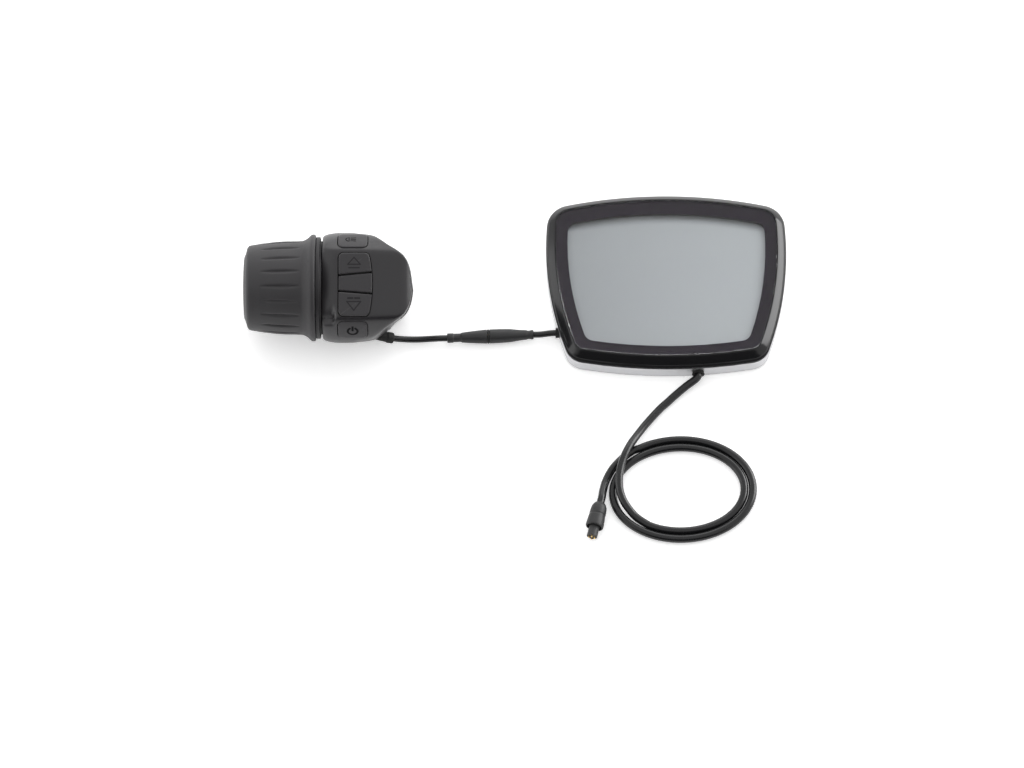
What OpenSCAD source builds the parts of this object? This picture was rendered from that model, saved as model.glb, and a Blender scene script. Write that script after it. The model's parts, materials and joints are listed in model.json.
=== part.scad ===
// E-bike display lying on its back, with its handlebar remote, the lead between them and the main lead.
// The origin is the centre of the display's back face. +X runs along the handlebar and +Z out of the window.

/* [Display outline] */
// Width of the display at its widest line
disp_w = 106; // [102:1:110]
// Height of the display between its lowest and highest points
disp_h = 86; // [84:0.4:90]
// Thickness of the display from its back to the face of the window
disp_t = 13; // [12.8:0.1:14]
// Radius of the bulged side edges
side_r = 155; // [145:1:170]
// Height of the widest line above the middle
side_high = 17; // [14:1:19]
// Radius of the bulged top edge
top_r = 200; // [180:5:230]
// Radius of the bulged bottom edge
bottom_r = 215; // [190:5:240]
// Radius of the two upper corners
upper_corner_r = 11; // [10:0.5:13]
// Radius of the two lower corners
lower_corner_r = 9; // [8.5:0.5:11]

/* [Back shell] */
// Height of the silver wall
shell_h = 7; // [6.6:0.1:7.4]
// Thickness of the shell's wall and floor
shell_wall = 2; // [1.8:0.1:2.2]
// Size of the soft lower edge
shell_edge = 1; // [0.6:0.1:1.4]
// Height of the dark parting line
seam_h = 0.9; // [0.7:0.1:1.1]
// How far the seal stands back in the parting line
seam_in = 0.7; // [0.4:0.1:1]
// Spacing of the bracket inserts, both ways
insert_pitch = 40; // [30:1:44]
// Bore radius of a bracket insert
insert_bore_r = 1.65; // [1.6:0.05:1.8]
// Outer radius of a bracket insert
insert_r = 2.6; // [2.5:0.1:2.9]
// Wall of the boss round an insert
insert_boss_wall = 1.4; // [1.2:0.1:1.8]
// Length of a bracket insert
insert_len = 3.4; // [3:0.1:3.6]

/* [Front frame and window] */
// Width of the rounded edge round the face
edge_in = 3.5; // [3:0.1:3.8]
// Distance of the window's edge from the outline
lens_in = 4.1; // [4:0.1:4.3]
// Thickness of the window
lens_t = 1.4; // [1.2:0.1:1.5]
// Thickness of the black border sheet
mask_t = 0.2; // [0.15:0.05:0.3]
// Width of the border at the sides
window_side_in = 9.4; // [9:0.1:10]
// Width of the border at the top
window_top_in = 10.6; // [10.2:0.1:11]
// Width of the border at the bottom
window_bottom_in = 9; // [8.6:0.1:9.4]
// Corner radius of the clear field
window_corner_r = 4.8; // [4.4:0.1:5.2]
// Depth of the air gap between the border sheet and the panel
air_gap = 1.6; // [1.4:0.1:1.7]

/* [Display panel and board] */
// Thickness of the panel
panel_t = 1.9; // [1.7:0.1:2]
// Thickness of the backlight plate
backlight_t = 1.8; // [1.6:0.1:1.9]
// Thickness of the main board
board_t = 1.6; // [1.5:0.1:1.7]
// Wall of the panel holder
holder_wall = 1.2; // [1:0.1:1.3]
// How far the panel runs under the border
panel_lap = 2; // [1.8:0.1:2.2]

/* [Screws] */
// Thread radius of the housing screws
screw_r = 0.95; // [0.8:0.05:1]
// Head radius of the housing screws
screw_head_r = 1.8; // [1.6:0.1:1.9]
// Height of a screw head
screw_head_h = 1; // [0.8:0.1:1.2]
// Radius of the bosses that take the housing screws
screw_boss_r = 1.8; // [1.7:0.1:1.9]

/* [Leads] */
// Diameter of the main lead
main_d = 3.5; // [3.3:0.1:3.6]
// Diameter of the remote lead
remote_d = 2.8; // [2.5:0.1:2.9]
// Spacing of the two turns of the main lead
turn_pitch = 3.7; // [3.7:0.1:4.4]
// Half width of the first turn
turn_half_w = 26.7; // [24:0.1:30]
// Half height of the first turn
turn_half_h = 19.4; // [18:0.1:24]

/* [Main plug] */
// Radius of the plug at its open end
plug_r = 3.9; // [3.7:0.1:4.2]
// Length of the plug's moulded body
plug_len = 11.5; // [10.5:0.5:14]
// Depth of the open end
plug_mouth = 4; // [3.5:0.5:5]
// Radius of the plug's core
plug_core_r = 2.3; // [2.1:0.1:2.6]
// How far the core stands out
plug_core_out = 4.6; // [3:0.2:6]

/* [Inline connector] */
// Radius of the connector pair at its joint
joint_r = 3.15; // [3:0.05:3.4]
// Length of the half on the remote's side
joint_left_len = 17.6; // [16:0.2:19]
// Length of the half on the display's side
joint_right_len = 19.3; // [18:0.2:21]
// Length of the ring between the two halves
joint_ring_len = 1; // [0.8:0.1:1.4]

/* [Remote] */
// Radius of the handlebar that the remote goes on
bar_r = 11.1; // [11:0.05:11.2]
// Radius of the housing
housing_r = 24; // [23.6:0.1:24.6]
// Wall of the housing
housing_wall = 2; // [1.8:0.1:2.1]
// Distance of the key facet from the bar's axis, as a share of the housing's radius
facet_share = 0.796; // [0.79:0.002:0.802]
// Wall behind the key facet
facet_wall = 1.6; // [1.5:0.1:1.7]
// Length of the turning grip
grip_len = 31.4; // [30.8:0.2:32]
// Radius of the grip's barrel
grip_r = 20.5; // [19.8:0.1:20.8]
// Radius of the grip's flared lip
lip_r = 23.3; // [22.6:0.1:23.5]
// Number of grooves round the grip
groove_count = 19; // [15:1:21]
// Depth of a groove
groove_depth = 0.6; // [0.4:0.1:0.8]
// Width of a groove
groove_w = 0.9; // [0.6:0.1:1.2]
// Radius of the ring behind the lip
ring_r = 22.2; // [21.4:0.1:22.4]
// Width of the ring behind the lip
ring_w = 1.3; // [1.1:0.1:1.4]
// Width of the dark running gap
run_gap = 1.1; // [1:0.1:1.2]
// Length of the housing
housing_len = 39.1; // [38.8:0.1:40]
// Angle by which the key facet leans back from straight up
facet_lean = 24.4; // [20:0.2:30]

/* [Keys] */
// Length of the key pad along the bar
pad_len = 14.7; // [14:0.1:14.9]
// Width of the key pad round the bar
pad_w = 27.6; // [27:0.1:27.8]
// Corner radius of the key pad
pad_corner_r = 2.3; // [2:0.1:2.6]
// Radius of the key pad's bulged edge
pad_bulge_r = 60; // [50:1:80]
// How far the keys stand out of the facet
key_proud = 0.8; // [0.6:0.1:1]
// Gap round the keys
key_gap = 0.35; // [0.3:0.05:0.4]
// Width of the seams between the three keys of the pad
seam_gap = 0.7; // [0.6:0.1:0.8]
// Length of a side button along the bar
side_len = 13; // [12.4:0.1:13.1]
// Width of a side button round the bar
side_w = 10.8; // [10:0.1:11]
// Angle of the light button from the facet's middle
light_angle = 54.5; // [54:0.5:58]
// Angle of the power button from the facet's middle
power_angle = -54.5; // [-56:0.5:-54]
// Key travel
key_travel = 0.5; // [0.4:0.05:0.5]

/* [Hidden] */
$fn = 96;

// Overrun of every cut past the face it opens
cut = 1;
// Clearance of a lead in its gland
lead_gap = 0.1;
// Clearance between pieces that are dropped into one another
drop_gap = 0.15;
// Clearance of a screw in its hole
screw_gap = 0.1;
// Clearance of the turning tube in the housing
turn_gap = 0.08;

// Steps in a side edge and in a corner of the display's outline
side_steps = 8;
corner_steps = 6;

// Heights of the layers in the display, from its back to its face
frame_z = shell_h + seam_h;
lens_z = disp_t - lens_t;
mask_z = lens_z - mask_t;
panel_z = mask_z - air_gap - panel_t;
backlight_z = panel_z - backlight_t;
board_post_h = 2.2;
board_z = shell_wall + board_post_h;

// How round the shell's lower edge is, and how round the frame's edge is at its top and across it
soft_share = 0.3;
frame_turn_share = 0.96;
frame_wide_share = 0.8;

// Ledge under the window
ledge_t = 0.8;
ledge_in = 5.8;
// Skirt of the front frame inside the shell
skirt_h = 2.6;
skirt_wall = 1.2;
skirt_in = shell_wall + drop_gap;

// Housing screws along both sides, as shares of the display's height above its middle
screw_high_shares = [0.3, -0.03, -0.34];
screw_in = shell_wall + 2 * drop_gap + screw_boss_r;
screw_tip_gap = 0.6;
// Posts under the board, as shares of the display's width and height from its middle
post_side_share = 0.3;
post_high_share = 0.32;

// Insets of the panel, its holder and the board from the outline, as [side, top, bottom]
window_in = [window_side_in, window_top_in, window_bottom_in];
panel_in = [for (v = window_in) v - panel_lap];
panel_corner_r = 1.5;
holder_in = [for (v = panel_in) v - drop_gap - holder_wall];
board_side_in = screw_in + screw_boss_r + drop_gap;
board_in = [board_side_in, board_side_in, holder_in[2]];
strip_w = 1.4;
strip_len = 36;
strip_step = 0.8;

// Cable entries in the display's walls
main_exit_x = 13.4;
remote_exit_share = 0.2685;
remote_exit_y = -remote_exit_share * disp_h;
gland_z = 3.7;
gland_wall = 0.75;
gland_collar = 0.3;
gland_out = 1.2;
gland_inside = 3.2;
header_len = 6;
header_w = 7;
header_gap = 0.3;

// Places on the remote, measured along the bar from the free end of the grip
lip_gap_share = 0.02;
ring_x = grip_len + lip_gap_share * grip_len;
house_x = ring_x + ring_w + run_gap;
house_end_x = house_x + housing_len;
// Where the remote lies: its free end, and its axis
remote_x = -184.9;
remote_y = -11.7;
remote_z = housing_r;

// The housing's turned outline, as [share of its length, share of its radius]
housing_turned_shares = [[0, 0.93], [0.02, 0.95], [0.046, 0.965], [0.113, 0.987], [0.18, 1], [0.6, 1],
  [0.89, 0.985], [0.94, 0.965], [0.975, 0.93], [1, 0.87]];
// The housing's outline seen on the key facet, as [share of its length, share of its radius]
housing_plan_shares = [[0, 1.02], [0.31, 1.02], [0.4, 0.985], [0.5, 0.96], [0.56, 0.935], [0.6, 0.9],
  [0.72, 0.758], [0.86, 0.6], [0.91, 0.527], [0.945, 0.44], [0.972, 0.33], [0.988, 0.22], [0.997, 0.1], [1, 0]];
// Line of the key facet along the bar, as [share of the housing's length, share of the facet's distance]
facet_line_shares = [[0, 0.864], [0.174, 1], [0.86, 1], [0.93, 0.975], [0.975, 0.91], [1, 0.82]];

// Line of the underside along the bar, as [share of its length, share of its radius]
belly_shares = [[1, -0.68], [0.96, -0.78], [0.86, -0.9], [0.6, -1.02], [0, -1.02]];

// The grip's outline, as [share of its length, share of its barrel's radius]
grip_shares = [[0, 0.6], [0.014, 0.67], [0.032, 0.72], [0.052, 0.835], [0.07, 0.88], [0.1, 0.9],
  [0.185, 0.92], [0.24, 0.937], [0.325, 0.953], [0.41, 0.972], [0.49, 0.983], [0.58, 0.991], [0.74, 0.996],
  [0.83, 1.002], [0.875, 1.03], [0.91, 1.068]];
groove_share = 0.985;
lip_step = 1.1;

// Bores and barrels round the bar
bar_gap = 0.05;
grip_bore_gap = 0.2;
sleeve_r = 13.35;
sleeve_in = 4.6;
tube_r = 13.2;
tube_neck_r = 12.5;
gap_neck_share = 0.92;
gap_neck_r = gap_neck_share * ring_r;
hub_r = 14.5;
end_wall = 1.8;
flange_r = 15.4;
flange_w = 1.8;
lobe_r = 17.4;
lobe_w = 7;
flange_gap = 0.3;
tube_tail = 3.9;
tube_end_x = house_x + end_wall + flange_gap + flange_w + tube_tail;
sleeve_x = tube_end_x + flange_gap;
grip_end_wall = 1.2;
grip_mouth_gap = 0.5;

// Inside the remote
facet_d = facet_share * housing_r;
rib_w = 1.4;
rib_z = 13.3;
back_rib_x = house_end_x - 12.6;
carrier_x = sleeve_x + flange_gap;
pad_x = 41.6;
pad_end_x = pad_x + pad_len;
board_x = pad_x + 0.6;
board_end_x = pad_end_x + 0.6;
key_board_in = 4.8;
key_board_z = facet_d - key_board_in;
key_board_t = 0.8;
key_board_w = 25;
switch_h = 1;
switch_w = 3.4;
switch_gap = 0.6;
flange_key_z = key_board_z + key_board_t + switch_h + switch_gap;
flange_key_grow = 0.6;
flange_key_gap = 0.35;
flange_key_in = 1.6;
flange_key_w = pad_w - 2 * flange_key_in;
cap_root = 0.3;
cap_z = flange_key_z + cap_root;
// Seams between the keys: height above the pad's middle at the pad's two ends
upper_seam = [3.9, 5.3];
lower_seam = [-2.9, -4.1];
side_x = pad_x - 0.2;
side_corner_r = 2.6;
side_proud = 0.6;
side_low_share = 0.985;
side_flange_in = 3.8;
side_flange_r = housing_r - side_flange_in;
side_board_in = 6.7;
side_board_r = housing_r - side_board_in;
side_board_w = 6.8;
carrier_wing_r = side_board_r + key_board_t;

// Screws of the remote
shell_screw_x = house_end_x - 11.4;
shell_screw_share = 0.65;
shell_screw_y = shell_screw_share * housing_r;
shell_boss_r = 2.2;
shell_boss_up = 8;
shell_screw_r = 1.1;
shell_head_r = 1.9;
shell_head_h = 1.4;
shell_head_z = 14;
grub_share = 0.45;
grub_x = house_x + grub_share * housing_len;
grub_r = 2;
grub_len = 5.2;
grub_boss_r = 3.8;
grub_boss_top = 17;

// Sensor of the twist tube
magnet_w = 5;
magnet_h = 1.8;
magnet_deep = 1.4;
magnet_r = 14.9;
sensor_w = 4;
sensor_t = 1;
sensor_board_w = 8;
sensor_board_t = 0.8;
sensor_board_h = 6.4;
spring_wire_r = 0.4;
spring_r = 14.2;
spring_turns = 2.5;
spring_pitch = 1.2;

// Outlet of the remote lead under the housing: shares of its length, and of its radius sideways and down
outlet_long_share = 0.613;
outlet_side_share = 0.6;
outlet_down_share = 0.72;
outlet_dip = 19.3;
outlet_x = house_x + outlet_long_share * housing_len;
outlet_y = remote_y - outlet_side_share * housing_r;
outlet_z = remote_z - outlet_down_share * housing_r;
outlet_bore_len = 9;
relief_seat = 3;
relief_r = 2.45;
relief_neck_r = 1.9;
relief_waist_share = 0.9;
relief_rim_share = 0.85;
relief_len = 3.9;
relief_collar = 2.9;

// Route of the main lead from its gland to its first turn, and from its last turn to the plug
main_in_points = [[13.4, -39.6, 3.7], [13.4, -43.7, 3.7], [12.3, -45.8, 3.5], [8.2, -48.9, 2.8],
  [3.9, -52.5, 2.1], [0, -56.3, 1.85], [-3.8, -60.1, 1.9], [-9.4, -67.2, 2.5], [-13.4, -73.2, 3.5],
  [-16.5, -78.6, 5], [-18.8, -83.6, 5.8], [-20.5, -88.6, 5.9], [-21.6, -94.4, 5.9], [-21.6, -100.2, 5.4],
  [-20.2, -105.2, 4.5], [-17.4, -109.6, 3.3], [-13.9, -113.2, 2.2]];
main_out_points = [[-15.9, -80.5, 1.8], [-20.3, -84.2, 1.8], [-24.5, -89.2, 1.8], [-27.4, -95.2, 1.9],
  [-28.7, -100.4, 2.8], [-29.2, -103.8, 3.6]];
// Route of the remote lead and of the display's pigtail
remote_points = [[-130, outlet_y, outlet_z + 1.2], [-124, outlet_y, outlet_z - 0.9],
  [-119.6, outlet_y, outlet_z - 2.45], [-114.6, -25.7, 2.7], [-109.6, -25.4, 2], [-104.6, -25.3, 2.3],
  [-100.4, -25.4, 3]];
pigtail_points = [[-55.6, -23.7, 3.5], [-51.8, -23.3, 3.7]];
lead_sides = 8;

// The two turns: their middle, their lean and the angles at which they start and end
turn_middle = [5, -99.9];
turn_lean = 4;
turn_from = 235;
turn_to = 840;
turn_zero = 270;
turn_rings = 24;
turn_sides = 6;

// Where the plug starts, and the way it points
plug_at = [-30, -107.2, 3.9];
plug_turn = -13;
// Outline of the plug's body, as shares of its radius
plug_back_share = 0.84;
plug_waist_share = 0.9;
plug_rim_share = 0.95;
plug_neck = 1.6;
plug_shoulder = 1.6;
plug_contact_r = 0.35;
plug_contact_out = 0.8;
plug_contact_ring = 1.2;

// Where the connector pair starts, and the way it points
joint_at = [-96.5, -25.4, 3.2];
joint_turn = 2.7;
// Outlines of the two halves, as [share of the half's length, share of the joint's radius]
joint_left_shares = [[0, 0.667], [0.148, 0.667], [0.16, 0.6], [0.34, 0.6], [0.36, 0.7], [0.52, 0.79],
  [0.75, 0.9], [1, 0.99]];
joint_right_shares = [[0, 0.99], [0.22, 0.98], [0.46, 0.93], [0.7, 0.74], [0.84, 0.68], [0.87, 0.6],
  [0.93, 0.6], [0.94, 0.667], [1, 0.667]];
joint_contact_r = 0.4;
joint_contact_len = 12;

// Angle of a flat vector
function angle_of(v) = atan2(v[1], v[0]);

// Where two circles meet, on the chosen side of the line between their centres
function meet(a, a_r, b, b_r, side) =
  let (d = b - a, l = norm(d), along = (a_r * a_r - b_r * b_r + l * l) / (2 * l), u = d / l)
  a + along * u + side * sqrt(a_r * a_r - along * along) * [-u[1], u[0]];

function arc(c, r, from, to, steps) =
  [for (i = [0:steps - 1]) c + r * [cos(from + (to - from) * i / steps), sin(from + (to - from) * i / steps)]];

// The display's outline, moved inwards by [side, top, bottom], with its own corner radii
function outline(in, upper_r, lower_r) =
  let (
    side_c = [disp_w / 2 - side_r, side_high],
    top_c = [0, disp_h / 2 - top_r],
    bottom_c = [0, bottom_r - disp_h / 2],
    side_now = side_r - in[0],
    top_now = top_r - in[1],
    bottom_now = bottom_r - in[2],
    upper_c = meet(side_c, side_now - upper_r, top_c, top_now - upper_r, 1),
    lower_c = meet(side_c, side_now - lower_r, bottom_c, bottom_now - lower_r, -1),
    a1 = angle_of(lower_c - side_c),
    a2 = angle_of(upper_c - side_c),
    a3 = angle_of(upper_c - top_c),
    a4 = angle_of(lower_c - bottom_c)
  )
  concat(
    arc(side_c, side_now, a1, a2, side_steps),
    arc(upper_c, upper_r, a2, a3, corner_steps),
    arc(top_c, top_now, a3, 180 - a3, side_steps),
    arc([-upper_c[0], upper_c[1]], upper_r, 180 - a3, 180 - a2, corner_steps),
    arc([-side_c[0], side_c[1]], side_now, 180 - a2, 180 - a1, side_steps),
    arc([-lower_c[0], lower_c[1]], lower_r, 180 - a1, 180 - a4, corner_steps),
    arc(bottom_c, bottom_now, 180 - a4, 360 + a4, side_steps),
    arc(lower_c, lower_r, 360 + a4, 360 + a1, corner_steps)
  );

// The outline moved inwards by the same amount all round
function even(in) = outline([in, in, in], upper_corner_r - in, lower_corner_r - in);

// A plate between two heights
module plate(points, z, h) {
  translate([0, 0, z]) linear_extrude(h) polygon(points);
}

// A solid that changes its inset with height, from a list of [inset, height]
module stacked(levels) {
  n = len(even(0));
  points = [for (level = levels, p = even(level[0])) [p[0], p[1], level[1]]];
  sides = [for (k = [0:len(levels) - 2], i = [0:n - 1], half = [0, 1])
    half == 0 ? [k * n + i, (k + 1) * n + (i + 1) % n, k * n + (i + 1) % n]
      : [k * n + i, (k + 1) * n + i, (k + 1) * n + (i + 1) % n]];
  polyhedron(points,
    concat([[for (i = [0:n - 1]) i]], sides, [[for (i = [n - 1:-1:0]) (len(levels) - 1) * n + i]]));
}

// Half width of the display at a height above its middle
function half_w(y) = disp_w / 2 - side_r + sqrt(side_r * side_r - (y - side_high) * (y - side_high));
function lower_y(x) = bottom_r - disp_h / 2 - sqrt(bottom_r * bottom_r - x * x);

// Places of the housing screws, each the same distance from the side edge
screw_places = [for (s = [-1, 1], share = screw_high_shares)
  let (up = share * disp_h - side_high, r = side_r - screw_in)
  [s * (disp_w / 2 - side_r + sqrt(r * r - up * up)), share * disp_h]];
insert_places = [for (x = [-1, 1], y = [-1, 1]) [x * insert_pitch / 2, y * insert_pitch / 2]];
post_places = [for (x = [-1, 1], y = [-1, 1]) [x * post_side_share * disp_w, y * post_high_share * disp_h]];

module main_entry() {
  translate([main_exit_x, 0, gland_z]) rotate([90, 0, 0]) children();
}

module remote_entry() {
  translate([0, remote_exit_y, gland_z]) rotate([0, -90, 0]) children();
}

main_wall_y = -lower_y(main_exit_x);
remote_wall_x = half_w(remote_exit_y);

// Silver shell with its floor, its bosses and the two cable entries
module back_shell() {
  color("silver") difference() {
    union() {
      difference() {
        stacked([[shell_edge, 0], [shell_edge * soft_share, shell_edge * soft_share], [0, shell_edge],
          [0, shell_h]]);
        plate(even(shell_wall), shell_wall, shell_h);
      }
      for (p = insert_places) translate([p[0], p[1], shell_wall / 2])
        cylinder(r = insert_r + insert_boss_wall, h = board_z - drop_gap - shell_wall / 2);
      for (p = post_places) translate([p[0], p[1], shell_wall / 2])
        cylinder(r = screw_boss_r, h = board_z - shell_wall / 2);
    }
    for (p = insert_places) translate([p[0], p[1], -cut])
      cylinder(r = insert_r, h = insert_len + cut);
    for (p = screw_places) translate([p[0], p[1], 0]) {
      translate([0, 0, -cut]) cylinder(r = screw_head_r + screw_gap, h = screw_head_h + screw_gap + cut);
      translate([0, 0, -cut]) cylinder(r = screw_r + screw_gap, h = shell_wall + 2 * cut);
    }
    main_entry() translate([0, 0, main_wall_y - shell_wall - 2 * cut])
      cylinder(r = main_d / 2 + gland_wall, h = shell_wall + 4 * cut);
    remote_entry() translate([0, 0, remote_wall_x - shell_wall - 2 * cut])
      cylinder(r = remote_d / 2 + gland_wall, h = shell_wall + 4 * cut);
  }
}

// Black frame with its rounded edge, its ledge under the window and its screw bosses
module front_frame() {
  rise = disp_t - frame_z;
  color([0.06, 0.06, 0.065]) difference() {
    union() {
      difference() {
        union() {
          stacked([for (t = [0, 0.2, 0.42, 0.62, 0.8, 0.92, 1])
            [edge_in * (1 - sqrt(1 - frame_turn_share * t * t)) / frame_wide_share, frame_z + rise * t]]);
          plate(even(skirt_in), frame_z - skirt_h, skirt_h + ledge_t);
        }
        plate(even(skirt_in + skirt_wall), frame_z - skirt_h - cut, skirt_h + cut);
        plate(outline([for (v = holder_in) v - drop_gap], panel_corner_r + holder_wall, panel_corner_r + holder_wall),
          frame_z - cut, mask_z - ledge_t - frame_z + cut);
        plate(even(ledge_in), frame_z, mask_z - frame_z + cut);
        plate(even(lens_in), mask_z, lens_t + mask_t + cut);
      }
      for (p = screw_places) translate([p[0], p[1], shell_wall + drop_gap])
        cylinder(r = screw_boss_r, h = frame_z + ledge_t - shell_wall - drop_gap);
    }
    for (p = screw_places) translate([p[0], p[1], shell_wall]) cylinder(r = screw_r, h = frame_z - shell_wall);
    main_entry() translate([0, 0, main_wall_y - shell_wall - 2 * cut])
      cylinder(r = main_d / 2 + gland_wall + drop_gap, h = shell_wall + 4 * cut);
    remote_entry() translate([0, 0, remote_wall_x - shell_wall - 2 * cut])
      cylinder(r = remote_d / 2 + gland_wall + drop_gap, h = shell_wall + 4 * cut);
  }
}

module cover_window() {
  color([0.75, 0.8, 0.82, 0.4]) plate(even(lens_in + drop_gap), lens_z, lens_t);
}

module border_sheet() {
  color([0.05, 0.05, 0.055]) difference() {
    plate(even(lens_in + drop_gap), mask_z, mask_t);
    plate(outline(window_in, window_corner_r, window_corner_r), mask_z - cut, mask_t + 2 * cut);
  }
}

// Foam frame that keeps dust out between the border sheet and the panel
module window_gasket() {
  color([0.12, 0.12, 0.12]) difference() {
    plate(outline(panel_in, panel_corner_r, panel_corner_r), mask_z - air_gap, air_gap);
    plate(outline([for (v = window_in) v - drop_gap], window_corner_r, window_corner_r),
      mask_z - air_gap - cut, air_gap + 2 * cut);
  }
}

module lcd_panel() {
  color([0.64, 0.66, 0.67]) plate(outline(panel_in, panel_corner_r, panel_corner_r), panel_z, panel_t);
}

// White frame that holds the panel over the board
module panel_holder() {
  color("white") difference() {
    plate(outline(holder_in, panel_corner_r + holder_wall, panel_corner_r + holder_wall),
      board_z + board_t, panel_z + panel_t - board_z - board_t);
    plate(outline([for (v = panel_in) v - drop_gap], panel_corner_r, panel_corner_r),
      board_z + board_t - cut, panel_z + panel_t - board_z - board_t + 2 * cut);
  }
}

module backlight_plate() {
  back_in = [panel_in[0] + drop_gap, panel_in[1] + drop_gap, panel_in[2] + strip_w + strip_step + 2 * drop_gap];
  color([0.9, 0.92, 0.9]) plate(outline(back_in, panel_corner_r, panel_corner_r), backlight_z, backlight_t);
}

// Rubber strip that carries the signals from the board up to the panel
module contact_strips() {
  strip_y = -disp_h / 2 + panel_in[2] + drop_gap;
  color([0.3, 0.3, 0.32]) translate([-strip_len / 2, strip_y + strip_step, board_z + board_t])
    cube([strip_len, strip_w, panel_z - board_z - board_t]);
}

module main_board() {
  color([0.05, 0.3, 0.15]) plate(outline(board_in, panel_corner_r, panel_corner_r), board_z, board_t);
}

// Chips under the board, as [x share, y share, width, height] of the display and in their own sizes
chip_places = [[-0.12, 0.02, 10, 10], [0.12, 0.05, 5, 6.2], [-0.02, -0.16, 4, 5], [0.06, 0.3, 6, 3.2],
  [-0.26, 0.1, 3.2, 2.5]];
chip_h = 1.2;

module board_chips() {
  color([0.08, 0.08, 0.08]) for (c = chip_places)
    translate([c[0] * disp_w - c[2] / 2, c[1] * disp_h - c[3] / 2, board_z - chip_h]) cube([c[2], c[3], chip_h]);
}

// Sockets under the board that the two leads plug into
module cable_headers() {
  color([0.9, 0.88, 0.8]) {
    translate([main_exit_x - header_w / 2, -main_wall_y + gland_inside + header_gap, shell_wall + header_gap])
      cube([header_w, header_len, board_post_h - header_gap]);
    translate([-remote_wall_x + gland_inside + 2 * screw_boss_r + header_gap, remote_exit_y - header_w / 2,
      shell_wall + header_gap]) cube([header_len, header_w, board_post_h - header_gap]);
  }
}

module housing_seal() {
  color([0.03, 0.03, 0.03]) difference() {
    plate(even(seam_in), shell_h, seam_h);
    plate(even(skirt_in), shell_h - cut, seam_h + 2 * cut);
  }
}

module housing_screws() {
  color([0.35, 0.35, 0.37]) for (p = screw_places) translate([p[0], p[1], screw_gap]) {
    cylinder(r = screw_head_r, h = screw_head_h);
    cylinder(r = screw_r, h = frame_z - screw_tip_gap - screw_gap);
  }
}

module bracket_inserts() {
  color([0.75, 0.6, 0.3]) for (p = insert_places) translate([p[0], p[1], 0]) difference() {
    cylinder(r = insert_r, h = insert_len);
    translate([0, 0, -cut]) cylinder(r = insert_bore_r, h = insert_len + 2 * cut);
  }
}

// Rubber gland in a wall: a seat in the wall, a collar outside, a bore for the lead
module gland(lead_d, wall_at) {
  difference() {
    union() {
      translate([0, 0, wall_at - gland_inside]) cylinder(r = lead_d / 2 + gland_wall, h = gland_inside + gland_out);
      translate([0, 0, wall_at + gland_out - gland_collar])
        cylinder(r = lead_d / 2 + gland_wall + gland_collar, h = gland_collar);
    }
    translate([0, 0, wall_at - gland_inside - cut])
      cylinder(r = lead_d / 2 + lead_gap, h = gland_inside + gland_out + 2 * cut);
  }
}

module main_cable_gland() {
  color([0.05, 0.05, 0.05]) main_entry() gland(main_d, main_wall_y);
}

module remote_cable_gland() {
  color([0.05, 0.05, 0.05]) remote_entry() gland(remote_d, remote_wall_x);
}

// A tube along points: each ring stands square to the route, and no ring twists against the last
function way(points, i) =
  let (a = points[max(i - 1, 0)], b = points[min(i + 1, len(points) - 1)]) (b - a) / norm(b - a);
function across(t) = let (s = cross([0, 0, 1], t)) s / norm(s);
function ring_at(p, t, r, sides) =
  let (s = across(t), u = cross(t, s))
  [for (k = [0:sides - 1]) p + r * (s * cos(360 * (k + 0.5) / sides) + u * sin(360 * (k + 0.5) / sides))];

module tube(points, r, sides, start, end) {
  n = len(points);
  ways = [for (i = [0:n - 1]) i == 0 && start ? start : i == n - 1 && end ? end : way(points, i)];
  rings = [for (i = [0:n - 1], p = ring_at(points[i], ways[i], r, sides)) p];
  walls = [for (i = [0:n - 2], k = [0:sides - 1], half = [0, 1])
    half == 0 ? [i * sides + k, (i + 1) * sides + k, (i + 1) * sides + (k + 1) % sides]
      : [i * sides + k, (i + 1) * sides + (k + 1) % sides, i * sides + (k + 1) % sides]];
  polyhedron(rings, concat([[for (k = [0:sides - 1]) k]], walls, [[for (k = [sides - 1:-1:0]) (n - 1) * sides + k]]),
    convexity = 10);
}

// A smooth curve through hand-chosen points, with some points between each pair
function blend(a, b, c, d, t) =
  0.5 * (2 * b + (c - a) * t + (2 * a - 5 * b + 4 * c - d) * t * t + (3 * b - a - 3 * c + d) * t * t * t);
function smooth(points, steps) =
  let (n = len(points))
  concat([for (i = [0:n - 2], k = [0:steps - 1])
    blend(points[max(i - 1, 0)], points[i], points[i + 1], points[min(i + 2, n - 1)], k / steps)], [points[n - 1]]);

// A point of the two turns at an angle, lying on the surface that the display lies on
function turn_point(a) =
  let (
    grow = turn_pitch * (a - turn_zero) / 360,
    x = (turn_half_w + grow) * cos(a),
    y = (turn_half_h + grow) * sin(a)
  )
  [turn_middle[0] + x * cos(turn_lean) - y * sin(turn_lean),
    turn_middle[1] + x * sin(turn_lean) + y * cos(turn_lean), main_d / 2];
function turn_way(a) = let (d = turn_point(a + 1) - turn_point(a - 1)) d / norm(d);

turn_step = 360 / turn_rings;
turn_count = floor((turn_to - turn_from) / turn_step);
turn_line = concat([turn_point(turn_from) - main_d * turn_way(turn_from)],
  [for (i = [0:turn_count]) turn_point(turn_from + i * (turn_to - turn_from) / turn_count)],
  [turn_point(turn_to) + main_d * turn_way(turn_to)]);
turn_start = turn_line[0];
turn_end = turn_line[len(turn_line) - 1];
// Least gap of the turns to themselves, between points at least half a turn apart
self_gap = min([for (i = [0:len(turn_line) - 1], j = [0:len(turn_line) - 1])
  if (j - i > turn_rings / 2) norm(turn_line[i] - turn_line[j])]) - main_d;
echo("least gap of the main lead's turns to themselves", self_gap);

module main_cable_lead() {
  points = smooth(concat(main_in_points, [turn_start]), 2);
  color([0.08, 0.08, 0.08]) tube(points, main_d / 2, lead_sides, [0, -1, 0], turn_way(turn_from));
}

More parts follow.
